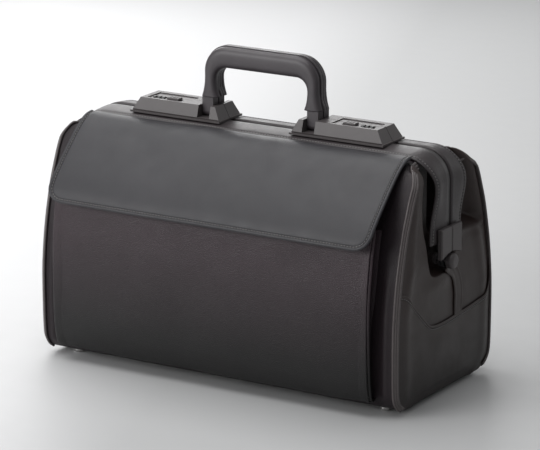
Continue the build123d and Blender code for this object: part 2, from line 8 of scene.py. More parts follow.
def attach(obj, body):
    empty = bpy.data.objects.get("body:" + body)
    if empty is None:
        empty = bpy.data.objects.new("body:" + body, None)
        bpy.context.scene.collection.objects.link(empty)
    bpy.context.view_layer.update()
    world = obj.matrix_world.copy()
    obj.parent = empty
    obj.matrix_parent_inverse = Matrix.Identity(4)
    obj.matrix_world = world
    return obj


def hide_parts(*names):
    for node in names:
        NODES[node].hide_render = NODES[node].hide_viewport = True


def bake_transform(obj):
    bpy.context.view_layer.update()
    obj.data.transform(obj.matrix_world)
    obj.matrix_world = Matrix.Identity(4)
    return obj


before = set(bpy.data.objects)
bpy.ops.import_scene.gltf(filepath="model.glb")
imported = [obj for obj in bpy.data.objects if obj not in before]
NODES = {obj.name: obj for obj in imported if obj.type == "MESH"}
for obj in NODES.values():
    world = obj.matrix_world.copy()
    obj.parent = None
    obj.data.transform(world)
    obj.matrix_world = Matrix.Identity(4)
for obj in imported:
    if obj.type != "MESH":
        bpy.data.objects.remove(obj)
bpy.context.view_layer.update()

# Shapes are written in millimetres with the parting plane of the frame at y = 0;
# place() turns them into metres in the row frame.
MM = 0.001
PARTING_Y = 10.0

# Body
WALL_PROFILE = [
    (66.0, 5.0), (70.0, 5.0), (75.0, 5.0), (80.0, 5.6), (88.5, 9.6), (95.0, 16.0), (98.3, 26.0),
    (99.4, 55.0), (99.2, 92.0), (96.8, 118.0), (93.4, 140.0), (88.5, 162.0), (82.0, 185.0),
    (75.0, 203.0), (68.5, 218.0), (61.5, 230.0), (53.0, 239.5), (44.0, 245.6), (36.0, 246.7),
    (29.0, 246.9),
]
WALL_HALF_LENGTH = 208.5
WALL_T = 1.8
PIPING_X = 209.6

# Side gussets
GUSSET_SPLIT_Z = 62.0
GUSSET_SPLIT = [(26.5, 60.0), (26.5, 77.0), (28.5, 90.0), (29.0, 101.0), (25.5, 115.0), (18.0, 126.0),
                (8.0, 133.0), (0.0, 138.0), (0.0, 250.0)]
FRONT_HOLLOW = [
    (8, 134), (-10, 133), (-25, 134), (-30, 143), (-33, 156), (-36, 168), (-40, 180), (-43, 197),
    (-42, 216), (-36, 233), (-31, 249), (33, 250), (33, 172), (27, 160), (22, 150), (16, 140),
]
REAR_HOLLOW = [
    (18, 168), (40, 163), (58, 161), (74, 162), (80, 168), (76, 181), (68, 198), (60, 214), (51, 230),
    (42, 243), (33, 250), (25, 250),
]
PANEL_TOP = [
    (-100, 127.5), (-92, 126.5), (-82, 121.5), (-60, 103), (-44, 89.5), (-33, 81.5), (-21, 78.5),
    (0, 78), (30, 79), (55, 80.5), (76, 83), (88, 88), (94, 99), (97, 120),
]
PANEL_HALF_DEPTH = 97.0
PANEL_BOTTOM = 4.0
PANEL_STITCH_IN = 3.6
SIDE_WAVES = (45.0, 0.7, 11.0)

# Frame
FRAME_X = 213.5
FRAME_TOP = 253.5
FRAME_CORNER_R = 33.0
COVER_FLARE = 3.4
COVER_SEAM_Y = 27.4
COVER_SEAM_R = -2.75

# Pocket and flap. Waves are the length, height and seed of a surface's ripple.
POCKET_HALF = 188.0
POCKET_SET_BACK = 5.0
POCKET_STITCH_IN = 3.2
POCKET_WAVES = (60.0, 1.0, 5.0)
POCKET_PROFILE = [
    (111.5, 17.0), (115.0, 21.0), (118.6, 40.0), (120.6, 80.0), (119.9, 125.0), (116.2, 158.0),
    (112.6, 177.0), (109.4, 192.0),
]
FLAP_HALF = 190.5
FLAP_T = 3.0
FLAP_PROFILE = [
    (36.5, 250.8), (47.0, 249.4), (58.0, 244.4), (70.0, 235.2), (84.0, 222.6), (97.0, 210.0),
    (108.0, 198.2), (115.6, 188.0), (119.6, 180.0), (120.9, 174.0),
]
FLAP_CORNER_R = 18.0
FLAP_STITCH_IN = 3.9
FLAP_WAVES = (80.0, 1.1, 9.0)
SEAM_STRIP_HALF = 178
SEAM_STRIP_Y = (-38.4, -33.6)
SEAM_STRIP_Z = 251.2
SEAM_STRIP_T = 1.2

# Linings and floor pad
LINING_HALF = 200
LINING_T = 0.8
FLOOR_PAD_HALF_X = 198
FLOOR_PAD_HALF_Y = 84
FLOOR_PAD_Z = 9.4
FLOOR_PAD_RISE = 2.8

# Handle
HANDLE_OUTER = 67.5
HANDLE_INNER = 54.5
HANDLE_FLARE = 4.0
HANDLE_BOTTOM = 277.2
HANDLE_GRIP_Z = (309.0, 331.0)
HANDLE_DEPTH = 12.0
HANDLE_RIM_DEPTH = 3.5

STITCH_PITCH = 3.3
THREAD_R = 0.5


# Curves and meshes
def place(points):
    """Millimetres in the parting frame to metres in the row frame."""
    return (np.asarray(points, float) + (0.0, PARTING_Y, 0.0)) * MM


def smoothstep(t):
    t = np.clip(t, 0.0, 1.0)
    return t * t * (3.0 - 2.0 * t)


class Curve:
    """Smooth line through points, read by its length."""

    def __init__(self, points, fine=16, closed=False):
        p = np.asarray(points, float)
        if closed:
            p = np.vstack([p[-1], p, p[0], p[1]])
        else:
            p = np.vstack([2 * p[0] - p[1], p, 2 * p[-1] - p[-2]])
        dense = []
        for i in range(1, len(p) - 2):
            a, b, c, d = p[i - 1], p[i], p[i + 1], p[i + 2]
            for t in np.linspace(0.0, 1.0, fine, endpoint=False):
                dense.append(
                    0.5 * (2 * b + (c - a) * t + (2 * a - 5 * b + 4 * c - d) * t**2
                           + (3 * b - a - 3 * c + d) * t**3)
                )
        dense.append(p[-2])
        self.points = np.array(dense)
        steps = np.linalg.norm(np.diff(self.points, axis=0), axis=1)
        self.s = np.concatenate([[0.0], np.cumsum(steps)])
        self.length = self.s[-1]

    def at(self, s):
        return np.stack([np.interp(s, self.s, c) for c in self.points.T], axis=-1)

    def tangent(self, s):
        d = self.at(np.clip(s + 0.6, 0, self.length)) - self.at(np.clip(s - 0.6, 0, self.length))
        return d / np.linalg.norm(d, axis=-1, keepdims=True)

    def normal(self, s):
        """Outward side of a (depth, z) profile that runs upward."""
        t = self.tangent(s)
        return np.stack([t[..., 1], -t[..., 0]], axis=-1)


def graded(length, step, fine_spots=(), fine=0.6, reach=4.0):
    """Values from 0 to length, about step apart and closer round each fine spot."""
    values = list(np.linspace(0.0, length, max(2, int(round(length / step)) + 1)))
    for spot in fine_spots:
        values += list(np.arange(spot - reach, spot + reach + 0.01, fine))
    values = sorted(v for v in values if -1e-9 <= v <= length + 1e-9)
    kept = [values[0]]
    for v in values[1:]:
        if v - kept[-1] > fine * 0.6:
            kept.append(v)
    kept[-1] = length
    return np.array(kept)


def ripple(points, size, amount, seed=0.0):
    """Soft unevenness: one number per point, from smooth noise of a wave size in mm."""
    flat = points.reshape(-1, 3) / size
    values = [noise.noise(Vector((p[0] + seed, p[1] - seed, p[2] + 2 * seed))) for p in flat]
    return amount * np.array(values).reshape(points.shape[:-1])


def grid_normals(grid):
    n = np.cross(np.gradient(grid, axis=0), np.gradient(grid, axis=1))
    length = np.linalg.norm(n, axis=-1, keepdims=True)
    return n / np.where(length < 1e-12, 1.0, length)


def add_object(name, points, faces, materials, face_materials=None):
    mesh = bpy.data.meshes.new(name)
    mesh.from_pydata(place(points).tolist(), [], faces)
    for material in materials:
        mesh.materials.append(material)
    if face_materials is not None:
        mesh.polygons.foreach_set("material_index", face_materials)
    mesh.polygons.foreach_set("use_smooth", [True] * len(mesh.polygons))
    mesh.update()
    obj = bpy.data.objects.new(name, mesh)
    bpy.context.scene.collection.objects.link(obj)
    return obj


def grid_faces(rows, cols, start=0, flip=False, wrap=False):
    faces = []
    last = cols if wrap else cols - 1
    for i in range(rows - 1):
        for j in range(last):
            k = (j + 1) % cols
            quad = [start + i * cols + j, start + (i + 1) * cols + j,
                    start + (i + 1) * cols + k, start + i * cols + k]
            faces.append(quad[::-1] if flip else quad)
    return faces


def shell_parts(grid, thickness, facing, rim=0.8):
    """Closed sheet from a grid of outer points: two skins and a rounded edge."""
    normals = grid_normals(grid)
    if (normals.reshape(-1, 3).mean(0) @ np.asarray(facing, float)) < 0:
        grid = grid[:, ::-1]
        normals = grid_normals(grid)
    rows, cols = grid.shape[:2]
    inner = grid - normals * thickness
    ring = [(0, j) for j in range(cols)] + [(i, cols - 1) for i in range(1, rows)]
    ring += [(rows - 1, j) for j in range(cols - 2, -1, -1)]
    ring += [(i, 0) for i in range(rows - 2, 0, -1)]
    ii = np.array([r[0] for r in ring])
    jj = np.array([r[1] for r in ring])
    edge = grid[ii, jj]
    nearby = grid[np.clip(ii, 1, rows - 2), np.clip(jj, 1, cols - 2)]
    n = normals[ii, jj]
    out = edge - nearby
    out -= n * np.sum(out * n, axis=1, keepdims=True)
    out /= np.maximum(np.linalg.norm(out, axis=1, keepdims=True), 1e-9)
    middle = edge - n * thickness / 2
    half = thickness / 2
    loops = [middle + out * half * rim * math.sin(a) + n * half * math.cos(a)
             for a in (math.pi / 4, math.pi / 2, 3 * math.pi / 4)]
    count = rows * cols
    points = np.vstack([grid.reshape(-1, 3), inner.reshape(-1, 3)] + loops)
    faces = grid_faces(rows, cols) + grid_faces(rows, cols, count, flip=True)
    tags = [0] * (len(faces) // 2) + [1] * (len(faces) // 2)
    m = len(ring)
    chain = [[i * cols + j for i, j in ring]]
    chain += [[2 * count + k * m + q for q in range(m)] for k in range(3)]
    chain += [[count + i * cols + j for i, j in ring]]
    for a, b in zip(chain, chain[1:]):
        for q in range(m):
            r = (q + 1) % m
            faces.append([a[q], a[r], b[r], b[q]])
            tags.append(0)
    return points, faces, tags


def shell(name, grid, thickness, facing, material, inside=None, rim=0.8):
    points, faces, tags = shell_parts(grid, thickness, facing, rim)
    return add_object(name, points, faces, [material, inside or material], tags)


def frames_along(points):
    """Unit tangents and one steady side direction for each point of a line."""
    t = np.gradient(points, axis=0)
    t /= np.linalg.norm(t, axis=1, keepdims=True)
    side = np.cross(t[0], (0.0, 0.0, 1.0))
    if np.linalg.norm(side) < 0.1:
        side = np.cross(t[0], (1.0, 0.0, 0.0))
    sides = []
    for tangent in t:
        side = side - tangent * (side @ tangent)
        side /= np.linalg.norm(side)
        sides.append(side.copy())
    return t, np.array(sides)


def tube_parts(points, radius, sides=12):
    """Round cord along a line, with closed ends."""
    points = np.asarray(points, float)
    t, u = frames_along(points)
    v = np.cross(t, u)
    radius = np.broadcast_to(np.asarray(radius, float), (len(points),))
    angles = np.linspace(0, 2 * math.pi, sides, endpoint=False)
    rings = [p + r * (np.outer(np.cos(angles), a) + np.outer(np.sin(angles), b))
             for p, r, a, b in zip(points, radius, u, v)]
    faces = grid_faces(len(points), sides, wrap=True, flip=True)
    faces.append(list(range(sides)))
    faces.append([(len(points) - 1) * sides + k for k in range(sides)][::-1])
    return np.vstack(rings), faces


THREAD_SHAPE = [(-0.38, -0.5, 0.5), (-0.28, 0.3, 1.0), (0.0, 0.6, 1.1), (0.28, 0.3, 1.0), (0.38, -0.5, 0.5)]
HOLE_SHADOW_SHAPE = [(-0.24, -0.9, 0.5), (-0.13, -0.45, 1.25), (0.13, -0.45, 1.25), (0.24, -0.9, 0.5)]


def stitch_parts(line, normals, shape=None, pitch=STITCH_PITCH, radius=THREAD_R, sides=6):
    """Row of short threads that dip into the leather, or of the near-black pieces between them that paint
    the shadow in the needle holes.
    """
    shape = shape or THREAD_SHAPE
    line = np.asarray(line, float)
    s = np.concatenate([[0.0], np.cumsum(np.linalg.norm(np.diff(line, axis=0), axis=1))])
    count = max(1, int(s[-1] / pitch))
    gap = s[-1] / count
    offset = 0.5 if shape is THREAD_SHAPE else 1.0
    points, faces = [], []
    angles = np.linspace(0, 2 * math.pi, sides, endpoint=False)
    for k in range(count - (0 if shape is THREAD_SHAPE else 1)):
        centre_s = (k + offset) * gap
        stations = np.array([centre_s + along * gap for along, _, _ in shape])
        c = np.stack([np.interp(stations, s, x) for x in line.T], axis=-1)
        n = np.array([np.interp(centre_s, s, x) for x in normals.T])
        n /= np.linalg.norm(n)
        t = c[-1] - c[0]
        t /= np.linalg.norm(t)
        b = np.cross(t, n)
        base = len(points) * sides
        for (along, lift, thick), p in zip(shape, c):
            centre = p + n * lift * radius
            points.append(centre + radius * thick * (np.outer(np.cos(angles), b)
                                                     + np.outer(np.sin(angles), n)))
        faces += grid_faces(len(shape), sides, base, wrap=True)
        faces.append([base + q for q in range(sides)][::-1])
        faces.append([base + (len(shape) - 1) * sides + q for q in range(sides)])
    return np.vstack(points), faces


def add_stitches(name, seams):
    """Threads, and near-black pieces painting the shadow in the needle holes, along seams, each a line with
    its normals.
    """
    threads = join_parts([stitch_parts(line, normals) for line, normals in seams])
    hole_shadows = join_parts([stitch_parts(line, normals, HOLE_SHADOW_SHAPE) for line, normals in seams])
    points, faces = join_parts([threads, hole_shadows])
    tags = [0] * len(threads[1]) + [1] * len(hole_shadows[1])
    return add_object(name, points, faces, [THREAD, NEEDLE_HOLE_SHADOW], tags)


def join_parts(parts):
    points, faces, base = [], [], 0
    for p, f in parts:
        points.append(np.asarray(p, float))
        faces += [[base + i for i in face] for face in f]
        base += len(p)
    return np.vstack(points), faces


def add_parts(name, parts, material):
    points, faces = join_parts(parts)
    return add_object(name, points, faces, [material])


def mirrored(grid):
    return grid * (-1.0, 1.0, 1.0)


# Materials
def new_material(name):
    material = bpy.data.materials.new(name)
    material.use_nodes = True
    nodes = material.node_tree.nodes
    nodes.clear()
    output = nodes.new("ShaderNodeOutputMaterial")
    shader = nodes.new("ShaderNodeBsdfPrincipled")
    material.node_tree.links.new(shader.outputs["BSDF"], output.inputs["Surface"])
    return material, nodes, material.node_tree.links, shader


def noise_node(nodes, links, coordinates, scale, detail=3.0, roughness=0.55):
    node = nodes.new("ShaderNodeTexNoise")
    node.inputs["Scale"].default_value = scale
    node.inputs["Detail"].default_value = detail
    node.inputs["Roughness"].default_value = roughness
    links.new(coordinates, node.inputs["Vector"])
    return node.outputs["Fac"]


def ramp_node(nodes, links, value, stops):
    node = nodes.new("ShaderNodeValToRGB")
    ramp = node.color_ramp
    while len(ramp.elements) < len(stops):
        ramp.elements.new(0.5)
    for element, (position, colour) in zip(ramp.elements, stops):
        element.position = position
        element.color = (*colour, 1.0)
    links.new(value, node.inputs["Fac"])
    return node.outputs["Color"]


def range_node(nodes, links, value, low, high):
    node = nodes.new("ShaderNodeMapRange")
    node.inputs["From Min"].default_value = 0.25
    node.inputs["From Max"].default_value = 0.75
    node.inputs["To Min"].default_value = low
    node.inputs["To Max"].default_value = high
    links.new(value, node.inputs["Value"])
    return node.outputs["Result"]


def bump_node(nodes, links, height, distance, strength, below=None):
    node = nodes.new("ShaderNodeBump")
    node.inputs["Strength"].default_value = strength
    node.inputs["Distance"].default_value = distance
    links.new(height, node.inputs["Height"])
    if below is not None:
        links.new(below, node.inputs["Normal"])
    return node.outputs["Normal"]


def leather(name, dark, light, rough, cell, depth, specular=0.5, coat=0.0, bottom_shade=None):
    """Leather with a cell grain of a size in mm, pores, and uneven colour and gloss, and optionally painted
    shade that darkens it towards the bottom.
    """
    material, nodes, links, shader = new_material(name)
    place_node = nodes.new("ShaderNodeTexCoord")
    coordinates = place_node.outputs["Object"]
    warp = nodes.new("ShaderNodeTexNoise")
    warp.inputs["Scale"].default_value = 260.0 / cell
    links.new(coordinates, warp.inputs["Vector"])
    mix = nodes.new("ShaderNodeVectorMath")
    mix.operation = "MULTIPLY_ADD"
    mix.inputs[1].default_value = (0.0006 * cell,) * 3
    links.new(warp.outputs["Color"], mix.inputs[0])
    links.new(coordinates, mix.inputs[2])
    cells = nodes.new("ShaderNodeTexVoronoi")
    cells.feature = "DISTANCE_TO_EDGE"
    cells.inputs["Scale"].default_value = 1000.0 / cell
    links.new(mix.outputs["Vector"], cells.inputs["Vector"])
    pebbles = ramp_node(nodes, links, cells.outputs["Distance"],
                        [(0.0, (0.0,) * 3), (0.16, (0.75,) * 3), (0.42, (1.0,) * 3)])
    tone = noise_node(nodes, links, coordinates, 9.0, 4.0)
    colour = ramp_node(nodes, links, tone, [(0.25, dark), (0.75, light)])
    crease = nodes.new("ShaderNodeMix")
    crease.data_type = "RGBA"
    crease.blend_type = "MULTIPLY"
    crease.inputs["Factor"].default_value = 0.45
    links.new(colour, crease.inputs["A"])
    links.new(pebbles, crease.inputs["B"])
    tinted = crease.outputs["Result"]
    # Painted shade: the colour is scaled from keep at height low (mm) up to full at height high, darker
    # towards the bottom.
    if bottom_shade:
        low, high, keep = bottom_shade
        height = nodes.new("ShaderNodeSeparateXYZ")
        links.new(coordinates, height.inputs["Vector"])
        climb = nodes.new("ShaderNodeMapRange")
        climb.inputs["From Min"].default_value = low * MM
        climb.inputs["From Max"].default_value = high * MM
        climb.inputs["To Min"].default_value = keep
        links.new(height.outputs["Z"], climb.inputs["Value"])
        painted_shade = nodes.new("ShaderNodeVectorMath")
        painted_shade.operation = "SCALE"
        links.new(tinted, painted_shade.inputs[0])
        links.new(climb.outputs["Result"], painted_shade.inputs["Scale"])
        tinted = painted_shade.outputs["Vector"]
    links.new(tinted, shader.inputs["Base Color"])
    gloss = noise_node(nodes, links, coordinates, 55.0, 3.0)
    links.new(range_node(nodes, links, gloss, rough - 0.05, rough + 0.06),
              shader.inputs["Roughness"])
    pores = noise_node(nodes, links, coordinates, 2600.0 / cell, 2.0)
    fine = bump_node(nodes, links, pores, 0.00006, 0.5)
    links.new(bump_node(nodes, links, pebbles, depth * MM, 0.9, fine), shader.inputs["Normal"])
    shader.inputs["Specular IOR Level"].default_value = specular
    shader.inputs["Coat Weight"].default_value = coat
    shader.inputs["Coat Roughness"].default_value = 0.35
    return material


def plastic(name, dark, light, rough, texture=0.35, depth=0.02):
    """Moulded plastic with a fine sparked texture."""
    material, nodes, links, shader = new_material(name)
    place_node = nodes.new("ShaderNodeTexCoord")
    coordinates = place_node.outputs["Object"]
    tone = noise_node(nodes, links, coordinates, 30.0, 4.0)
    links.new(ramp_node(nodes, links, tone, [(0.3, dark), (0.7, light)]),
              shader.inputs["Base Color"])
    spark = noise_node(nodes, links, coordinates, 1000.0 / texture, 2.0, 0.7)
    links.new(range_node(nodes, links, spark, rough - 0.05, rough + 0.07),
              shader.inputs["Roughness"])
    links.new(bump_node(nodes, links, spark, depth * MM, 0.8), shader.inputs["Normal"])
    shader.inputs["Specular IOR Level"].default_value = 0.5
    return material


def metal(name, colour, rough, brushed=1.0):
    """Plated steel with faint drawing lines."""
    material, nodes, links, shader = new_material(name)
    place_node = nodes.new("ShaderNodeTexCoord")
    stretch = nodes.new("ShaderNodeMapping")
    stretch.inputs["Scale"].default_value = (0.06, 1.0, 1.0)
    links.new(place_node.outputs["Object"], stretch.inputs["Vector"])
    lines = noise_node(nodes, links, stretch.outputs["Vector"], 1800.0, 2.0)
    tone = ramp_node(nodes, links, lines, [(0.3, tuple(c * 0.8 for c in colour)), (0.7, colour)])
    links.new(tone, shader.inputs["Base Color"])
    links.new(range_node(nodes, links, lines, rough - 0.04, rough + 0.08),
              shader.inputs["Roughness"])
    links.new(bump_node(nodes, links, lines, 0.00002, brushed), shader.inputs["Normal"])
    shader.inputs["Metallic"].default_value = 1.0
    return material


def fabric(name, dark, light, thread, rough=0.8, sheen=0.3):
    """Woven cloth: two crossing sets of threads of a width in mm."""
    material, nodes, links, shader = new_material(name)
    place_node = nodes.new("ShaderNodeTexCoord")
    heights = []
    for axis in ("X", "Z"):
        wave = nodes.new("ShaderNodeTexWave")
        wave.bands_direction = axis
        wave.inputs["Scale"].default_value = 1000.0 / (thread * 6.2832) * math.pi
        wave.inputs["Distortion"].default_value = 0.6
        links.new(place_node.outputs["Object"], wave.inputs["Vector"])
        heights.append(wave.outputs["Fac"])
    weave = nodes.new("ShaderNodeMath")
    weave.operation = "MAXIMUM"
    links.new(heights[0], weave.inputs[0])
    links.new(heights[1], weave.inputs[1])
    links.new(ramp_node(nodes, links, weave.outputs[0], [(0.2, dark), (0.9, light)]),
              shader.inputs["Base Color"])
    links.new(bump_node(nodes, links, weave.outputs[0], 0.0001, 0.7), shader.inputs["Normal"])
    shader.inputs["Roughness"].default_value = rough
    shader.inputs["Sheen Weight"].default_value = sheen
    return material


SMOOTH = leather("smooth_leather", (0.0155, 0.0145, 0.0185), (0.021, 0.0195, 0.025), 0.46, 0.9, 0.05)
COVER = leather("frame_leather", (0.036, 0.029, 0.031), (0.048, 0.039, 0.042), 0.42, 0.9, 0.05)
# Pocket leather with painted shade: darkened to 3 % of its colour below 45 mm, full colour above 165 mm.
GRAINED = leather("grained_leather", (0.029, 0.015, 0.021), (0.043, 0.025, 0.033), 0.44, 1.9, 0.17, 0.4,
                  bottom_shade=(45.0, 165.0, 0.03))
# Front wall leather drawn darker than the rest: painted shade for the shade cast by the flap.
SHADED_WALL_LEATHER = leather("wall_leather", (0.010, 0.005, 0.008), (0.016, 0.009, 0.012), 0.52, 1.6, 0.12, 0.35)
BACK = leather("back_leather", (0.019, 0.0155, 0.0175), (0.028, 0.0235, 0.026), 0.47, 1.9, 0.14)
# Side leather with painted shade: darkened to 35 % of its colour below 20 mm, full colour above 130 mm.
SIDE = leather("side_leather", (0.024, 0.0125, 0.0105), (0.036, 0.021, 0.0185), 0.47, 1.0, 0.06,
               bottom_shade=(20.0, 130.0, 0.35))
# Piping leather drawn far lighter than the walls: a painted highlight along the corner seams.
PIPING_PAINTED_HIGHLIGHT = leather("piping_leather", (0.075, 0.062, 0.062), (0.105, 0.090, 0.090), 0.33, 0.8, 0.03)
LINING = fabric("lining_cloth", (0.030, 0.028, 0.027), (0.055, 0.051, 0.048), 0.5)
THREAD = fabric("thread", (0.100, 0.094, 0.094), (0.190, 0.182, 0.182), 0.25, 0.6, 0.1)
# Near-black pieces that paint the shadow in the needle holes between the threads.
NEEDLE_HOLE_SHADOW = fabric("needle_hole_shadow", (0.001, 0.001, 0.001), (0.003, 0.003, 0.003), 0.25, 0.9, 0.0)
BOARD = fabric("board", (0.05, 0.045, 0.04), (0.08, 0.07, 0.06), 0.8, 0.9, 0.0)
BLACK_PLASTIC = plastic("black_plastic", (0.056, 0.048, 0.049), (0.070, 0.062, 0.063), 0.45)
GRIP = plastic("grip_rubber", (0.040, 0.034, 0.038), (0.052, 0.045, 0.050), 0.42, 0.5, 0.03)
DIAL = plastic("dial_plastic", (0.012, 0.012, 0.012), (0.02, 0.02, 0.02), 0.35)
BEAD = plastic("bead_strip", (0.045, 0.043, 0.043), (0.065, 0.062, 0.062), 0.34, 0.6, 0.01)
STEEL = metal("dark_steel", (0.22, 0.22, 0.23), 0.38)
BRIGHT = metal("nickel", (0.62, 0.61, 0.60), 0.26)


def finish_piece(obj, body=None, replaced=()):
    if replaced:
        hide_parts(*replaced)
    if body:
        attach(obj, body)
    return obj


def bend_piece(obj):
    """Bakes the object's placement into its mesh."""
    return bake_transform(obj)


# Camera, floor and light
VIEW_AZIMUTH = math.radians(31.2)
VIEW_ELEVATION = math.radians(15.5)
VIEW_DISTANCE = 3.3697
VIEW_TARGET = Vector((0.0057, 0.010, 0.1477))
back = Vector((
    math.sin(VIEW_AZIMUTH) * math.cos(VIEW_ELEVATION),
    -math.cos(VIEW_AZIMUTH) * math.cos(VIEW_ELEVATION),
    math.sin(VIEW_ELEVATION),
))
camera_data = bpy.data.cameras.new("camera")
camera_data.lens = 218.0
camera_data.sensor_width = 36.0
camera_data.clip_end = 60.0
camera = bpy.data.objects.new("camera", camera_data)
camera.location = VIEW_TARGET + back * VIEW_DISTANCE
camera.rotation_mode = "QUATERNION"
camera.rotation_quaternion = (-back).to_track_quat("-Z", "Y")
bpy.context.scene.collection.objects.link(camera)
bpy.context.scene.camera = camera


def area_light(name, position, aim, size, power, colour=(1.0, 1.0, 1.0)):
    data = bpy.data.lights.new(name, "AREA")
    data.shape = "RECTANGLE"
    data.size, data.size_y = size
    data.energy = power
    data.color = colour
    light = bpy.data.objects.new(name, data)
    light.location = position
    light.rotation_mode = "QUATERNION"
    direction = Vector(aim) - Vector(position)
    light.rotation_quaternion = direction.to_track_quat("-Z", "Y")
    bpy.context.scene.collection.objects.link(light)


area_light("overhead_softbox", (-0.7, -0.2, 2.5), (0.0, 0.0, 0.15), (3.2, 2.6), 68.0)
area_light("front_left_softbox", (-1.5, -2.6, 1.15), (0.0, 0.0, 0.2), (2.2, 1.2), 50.0)
area_light("back_left_softbox", (-1.15, 1.5, 0.85), (-0.1, 0.0, 0.25), (1.3, 0.6), 11.0)
area_light("right_softbox", (1.7, 2.5, 1.1), (0.0, 0.0, 0.15), (1.4, 1.4), 4.0)

world = bpy.data.worlds.new("studio")
world.use_nodes = True
world.node_tree.nodes["Background"].inputs["Color"].default_value = (0.78, 0.79, 0.80, 1.0)
world.node_tree.nodes["Background"].inputs["Strength"].default_value = 0.37
bpy.context.scene.world = world
bpy.context.scene.view_settings.view_transform = "Standard"

# Painted light on the floor: its colour fades from light at the left to darker at the right, in place of
# the fall-off of the lamps: place from 0 to 1, and colour
FLOOR_PAINTED_LIGHT_TURN = math.radians(-20.0)
FLOOR_PAINTED_LIGHT = [
    (0.15, (0.84, 0.84, 0.845)), (0.28, (0.70, 0.70, 0.705)), (0.37, (0.62, 0.62, 0.625)),
    (0.46, (0.485, 0.488, 0.49)), (0.65, (0.445, 0.448, 0.45)),
]
floor_material, floor_nodes, floor_links, floor_shader = new_material("studio_floor")
floor_place = floor_nodes.new("ShaderNodeTexCoord")
floor_turn = floor_nodes.new("ShaderNodeMapping")
floor_turn.inputs["Rotation"].default_value = (0.0, 0.0, FLOOR_PAINTED_LIGHT_TURN)
floor_links.new(floor_place.outputs["Object"], floor_turn.inputs["Vector"])
floor_split = floor_nodes.new("ShaderNodeSeparateXYZ")
floor_links.new(floor_turn.outputs["Vector"], floor_split.inputs["Vector"])
floor_range = floor_nodes.new("ShaderNodeMapRange")
floor_range.inputs["From Min"].default_value = -1.0
floor_range.inputs["From Max"].default_value = 1.0
floor_links.new(floor_split.outputs["X"], floor_range.inputs["Value"])
floor_links.new(
    ramp_node(floor_nodes, floor_links, floor_range.outputs["Result"], FLOOR_PAINTED_LIGHT),
    floor_shader.inputs["Base Color"],
)
floor_grain = noise_node(floor_nodes, floor_links, floor_place.outputs["Object"], 40.0)
floor_links.new(range_node(floor_nodes, floor_links, floor_grain, 0.5, 0.56),
                floor_shader.inputs["Roughness"])
floor_mesh = bpy.data.meshes.new("studio_floor")
FLOOR = 14.0
floor_mesh.from_pydata(
    [(-FLOOR, -FLOOR, 0.0), (FLOOR, -FLOOR, 0.0), (FLOOR, FLOOR, 0.0), (-FLOOR, FLOOR, 0.0)],
    [], [(0, 1, 2, 3)],
)
floor_mesh.materials.append(floor_material)
floor_obj = bpy.data.objects.new("studio_floor", floor_mesh)
bpy.context.scene.collection.objects.link(floor_obj)

# Walls
WALL_CURVE = Curve(WALL_PROFILE)
CORNER_X = FRAME_X - FRAME_CORNER_R
CORNER_Z = FRAME_TOP - FRAME_CORNER_R
SEAM_CORNER_R = 30.0
UNDER_COVER_R = 27.2


def seam_inset(z):
    """How far the corner seams curve inward under the rounded corner of the frame."""
    rise = np.clip(z - CORNER_Z, 0.0, SEAM_CORNER_R - 0.6)
    return np.maximum(PIPING_X - CORNER_X - np.sqrt(SEAM_CORNER_R**2 - rise**2), 0.0)


def corner_droop(x, z):
    """How far the leather drops to stay under the rounded corner of the frame."""
    past = np.clip(np.abs(x) - CORNER_X, 0.0, UNDER_COVER_R - 3.0)
    drop = UNDER_COVER_R - np.sqrt(UNDER_COVER_R**2 - past**2)
    return drop * smoothstep((z - 240.0) / 6.5)


def edge_depth(z):
    """Half depth of the body where the side seams run, at a height."""
    points = WALL_CURVE.points
    rising = points[:, 1] >= np.maximum.accumulate(points[:, 1]) - 1e-9
    return np.interp(z, points[rising, 1], points[rising, 0])


def wall_grid(side, s_values, x_values):
    x, s = np.meshgrid(x_values, s_values)
    centre = WALL_CURVE.at(s)
    normal = WALL_CURVE.normal(s)
    z = centre[..., 1]
    across = np.abs(x) / WALL_HALF_LENGTH
    roll = 2.2 * np.exp(-((np.abs(x) - 199.0) / 4.0) ** 2) * smoothstep((z - 8) / 20)
    roll *= 1.0 - smoothstep((z - 120) / 45)
    out = 0.9 + roll
    if side > 0:
        belly = np.clip(1.0 - across**4, 0, 1)
        out = out + belly * 5.0 * smoothstep((z - 8) / 30) * (1 - smoothstep((z - 90) / 90))
        out = out + belly * 1.5 * smoothstep((z - 150) / 40) * (1 - smoothstep((z - 215) / 25))
    flat = np.stack([x, centre[..., 0], z], axis=-1)
    out = out + ripple(flat, 70.0, 0.9, 3.0 * side) * (1 - across**6)
    depth = centre[..., 0] + normal[..., 0] * out
    height = z + normal[..., 1] * out
    inward = seam_inset(height) * smoothstep((np.abs(x) - 160.0) / 45.0)
    x = x - np.sign(x) * inward
    height = height - corner_droop(x, height) - rear_sag(side, x, height)
    return np.stack([x, side * depth, np.maximum(height, 3.6)], axis=-1)


def rear_sag(side, x, z):
    """The rear corner hangs a little lower than the front one."""
    if side < 0:
        return np.zeros_like(z)
    return 4.5 * smoothstep((np.abs(x) - 178.0) / 14.0) * smoothstep((z - 222.0) / 16.0)


wall_s = np.linspace(0, WALL_CURVE.length, 96)
wall_x = np.concatenate([
    np.linspace(-WALL_HALF_LENGTH, -184, 12), np.linspace(-176, 176, 45),
    np.linspace(184, WALL_HALF_LENGTH, 12),
])
for side, word in ((-1, "front"), (1, "rear")):
    # The front wall takes the darker leather with painted shade.
    wall = shell(f"{word}_wall_skin", wall_grid(side, wall_s, wall_x), WALL_T, (0, side, 0),
                 BACK if side > 0 else SHADED_WALL_LEATHER, LINING)
    finish_piece(wall, None, (f"{word}_wall", f"{word}_upper_wall"))
    bend_piece(wall)

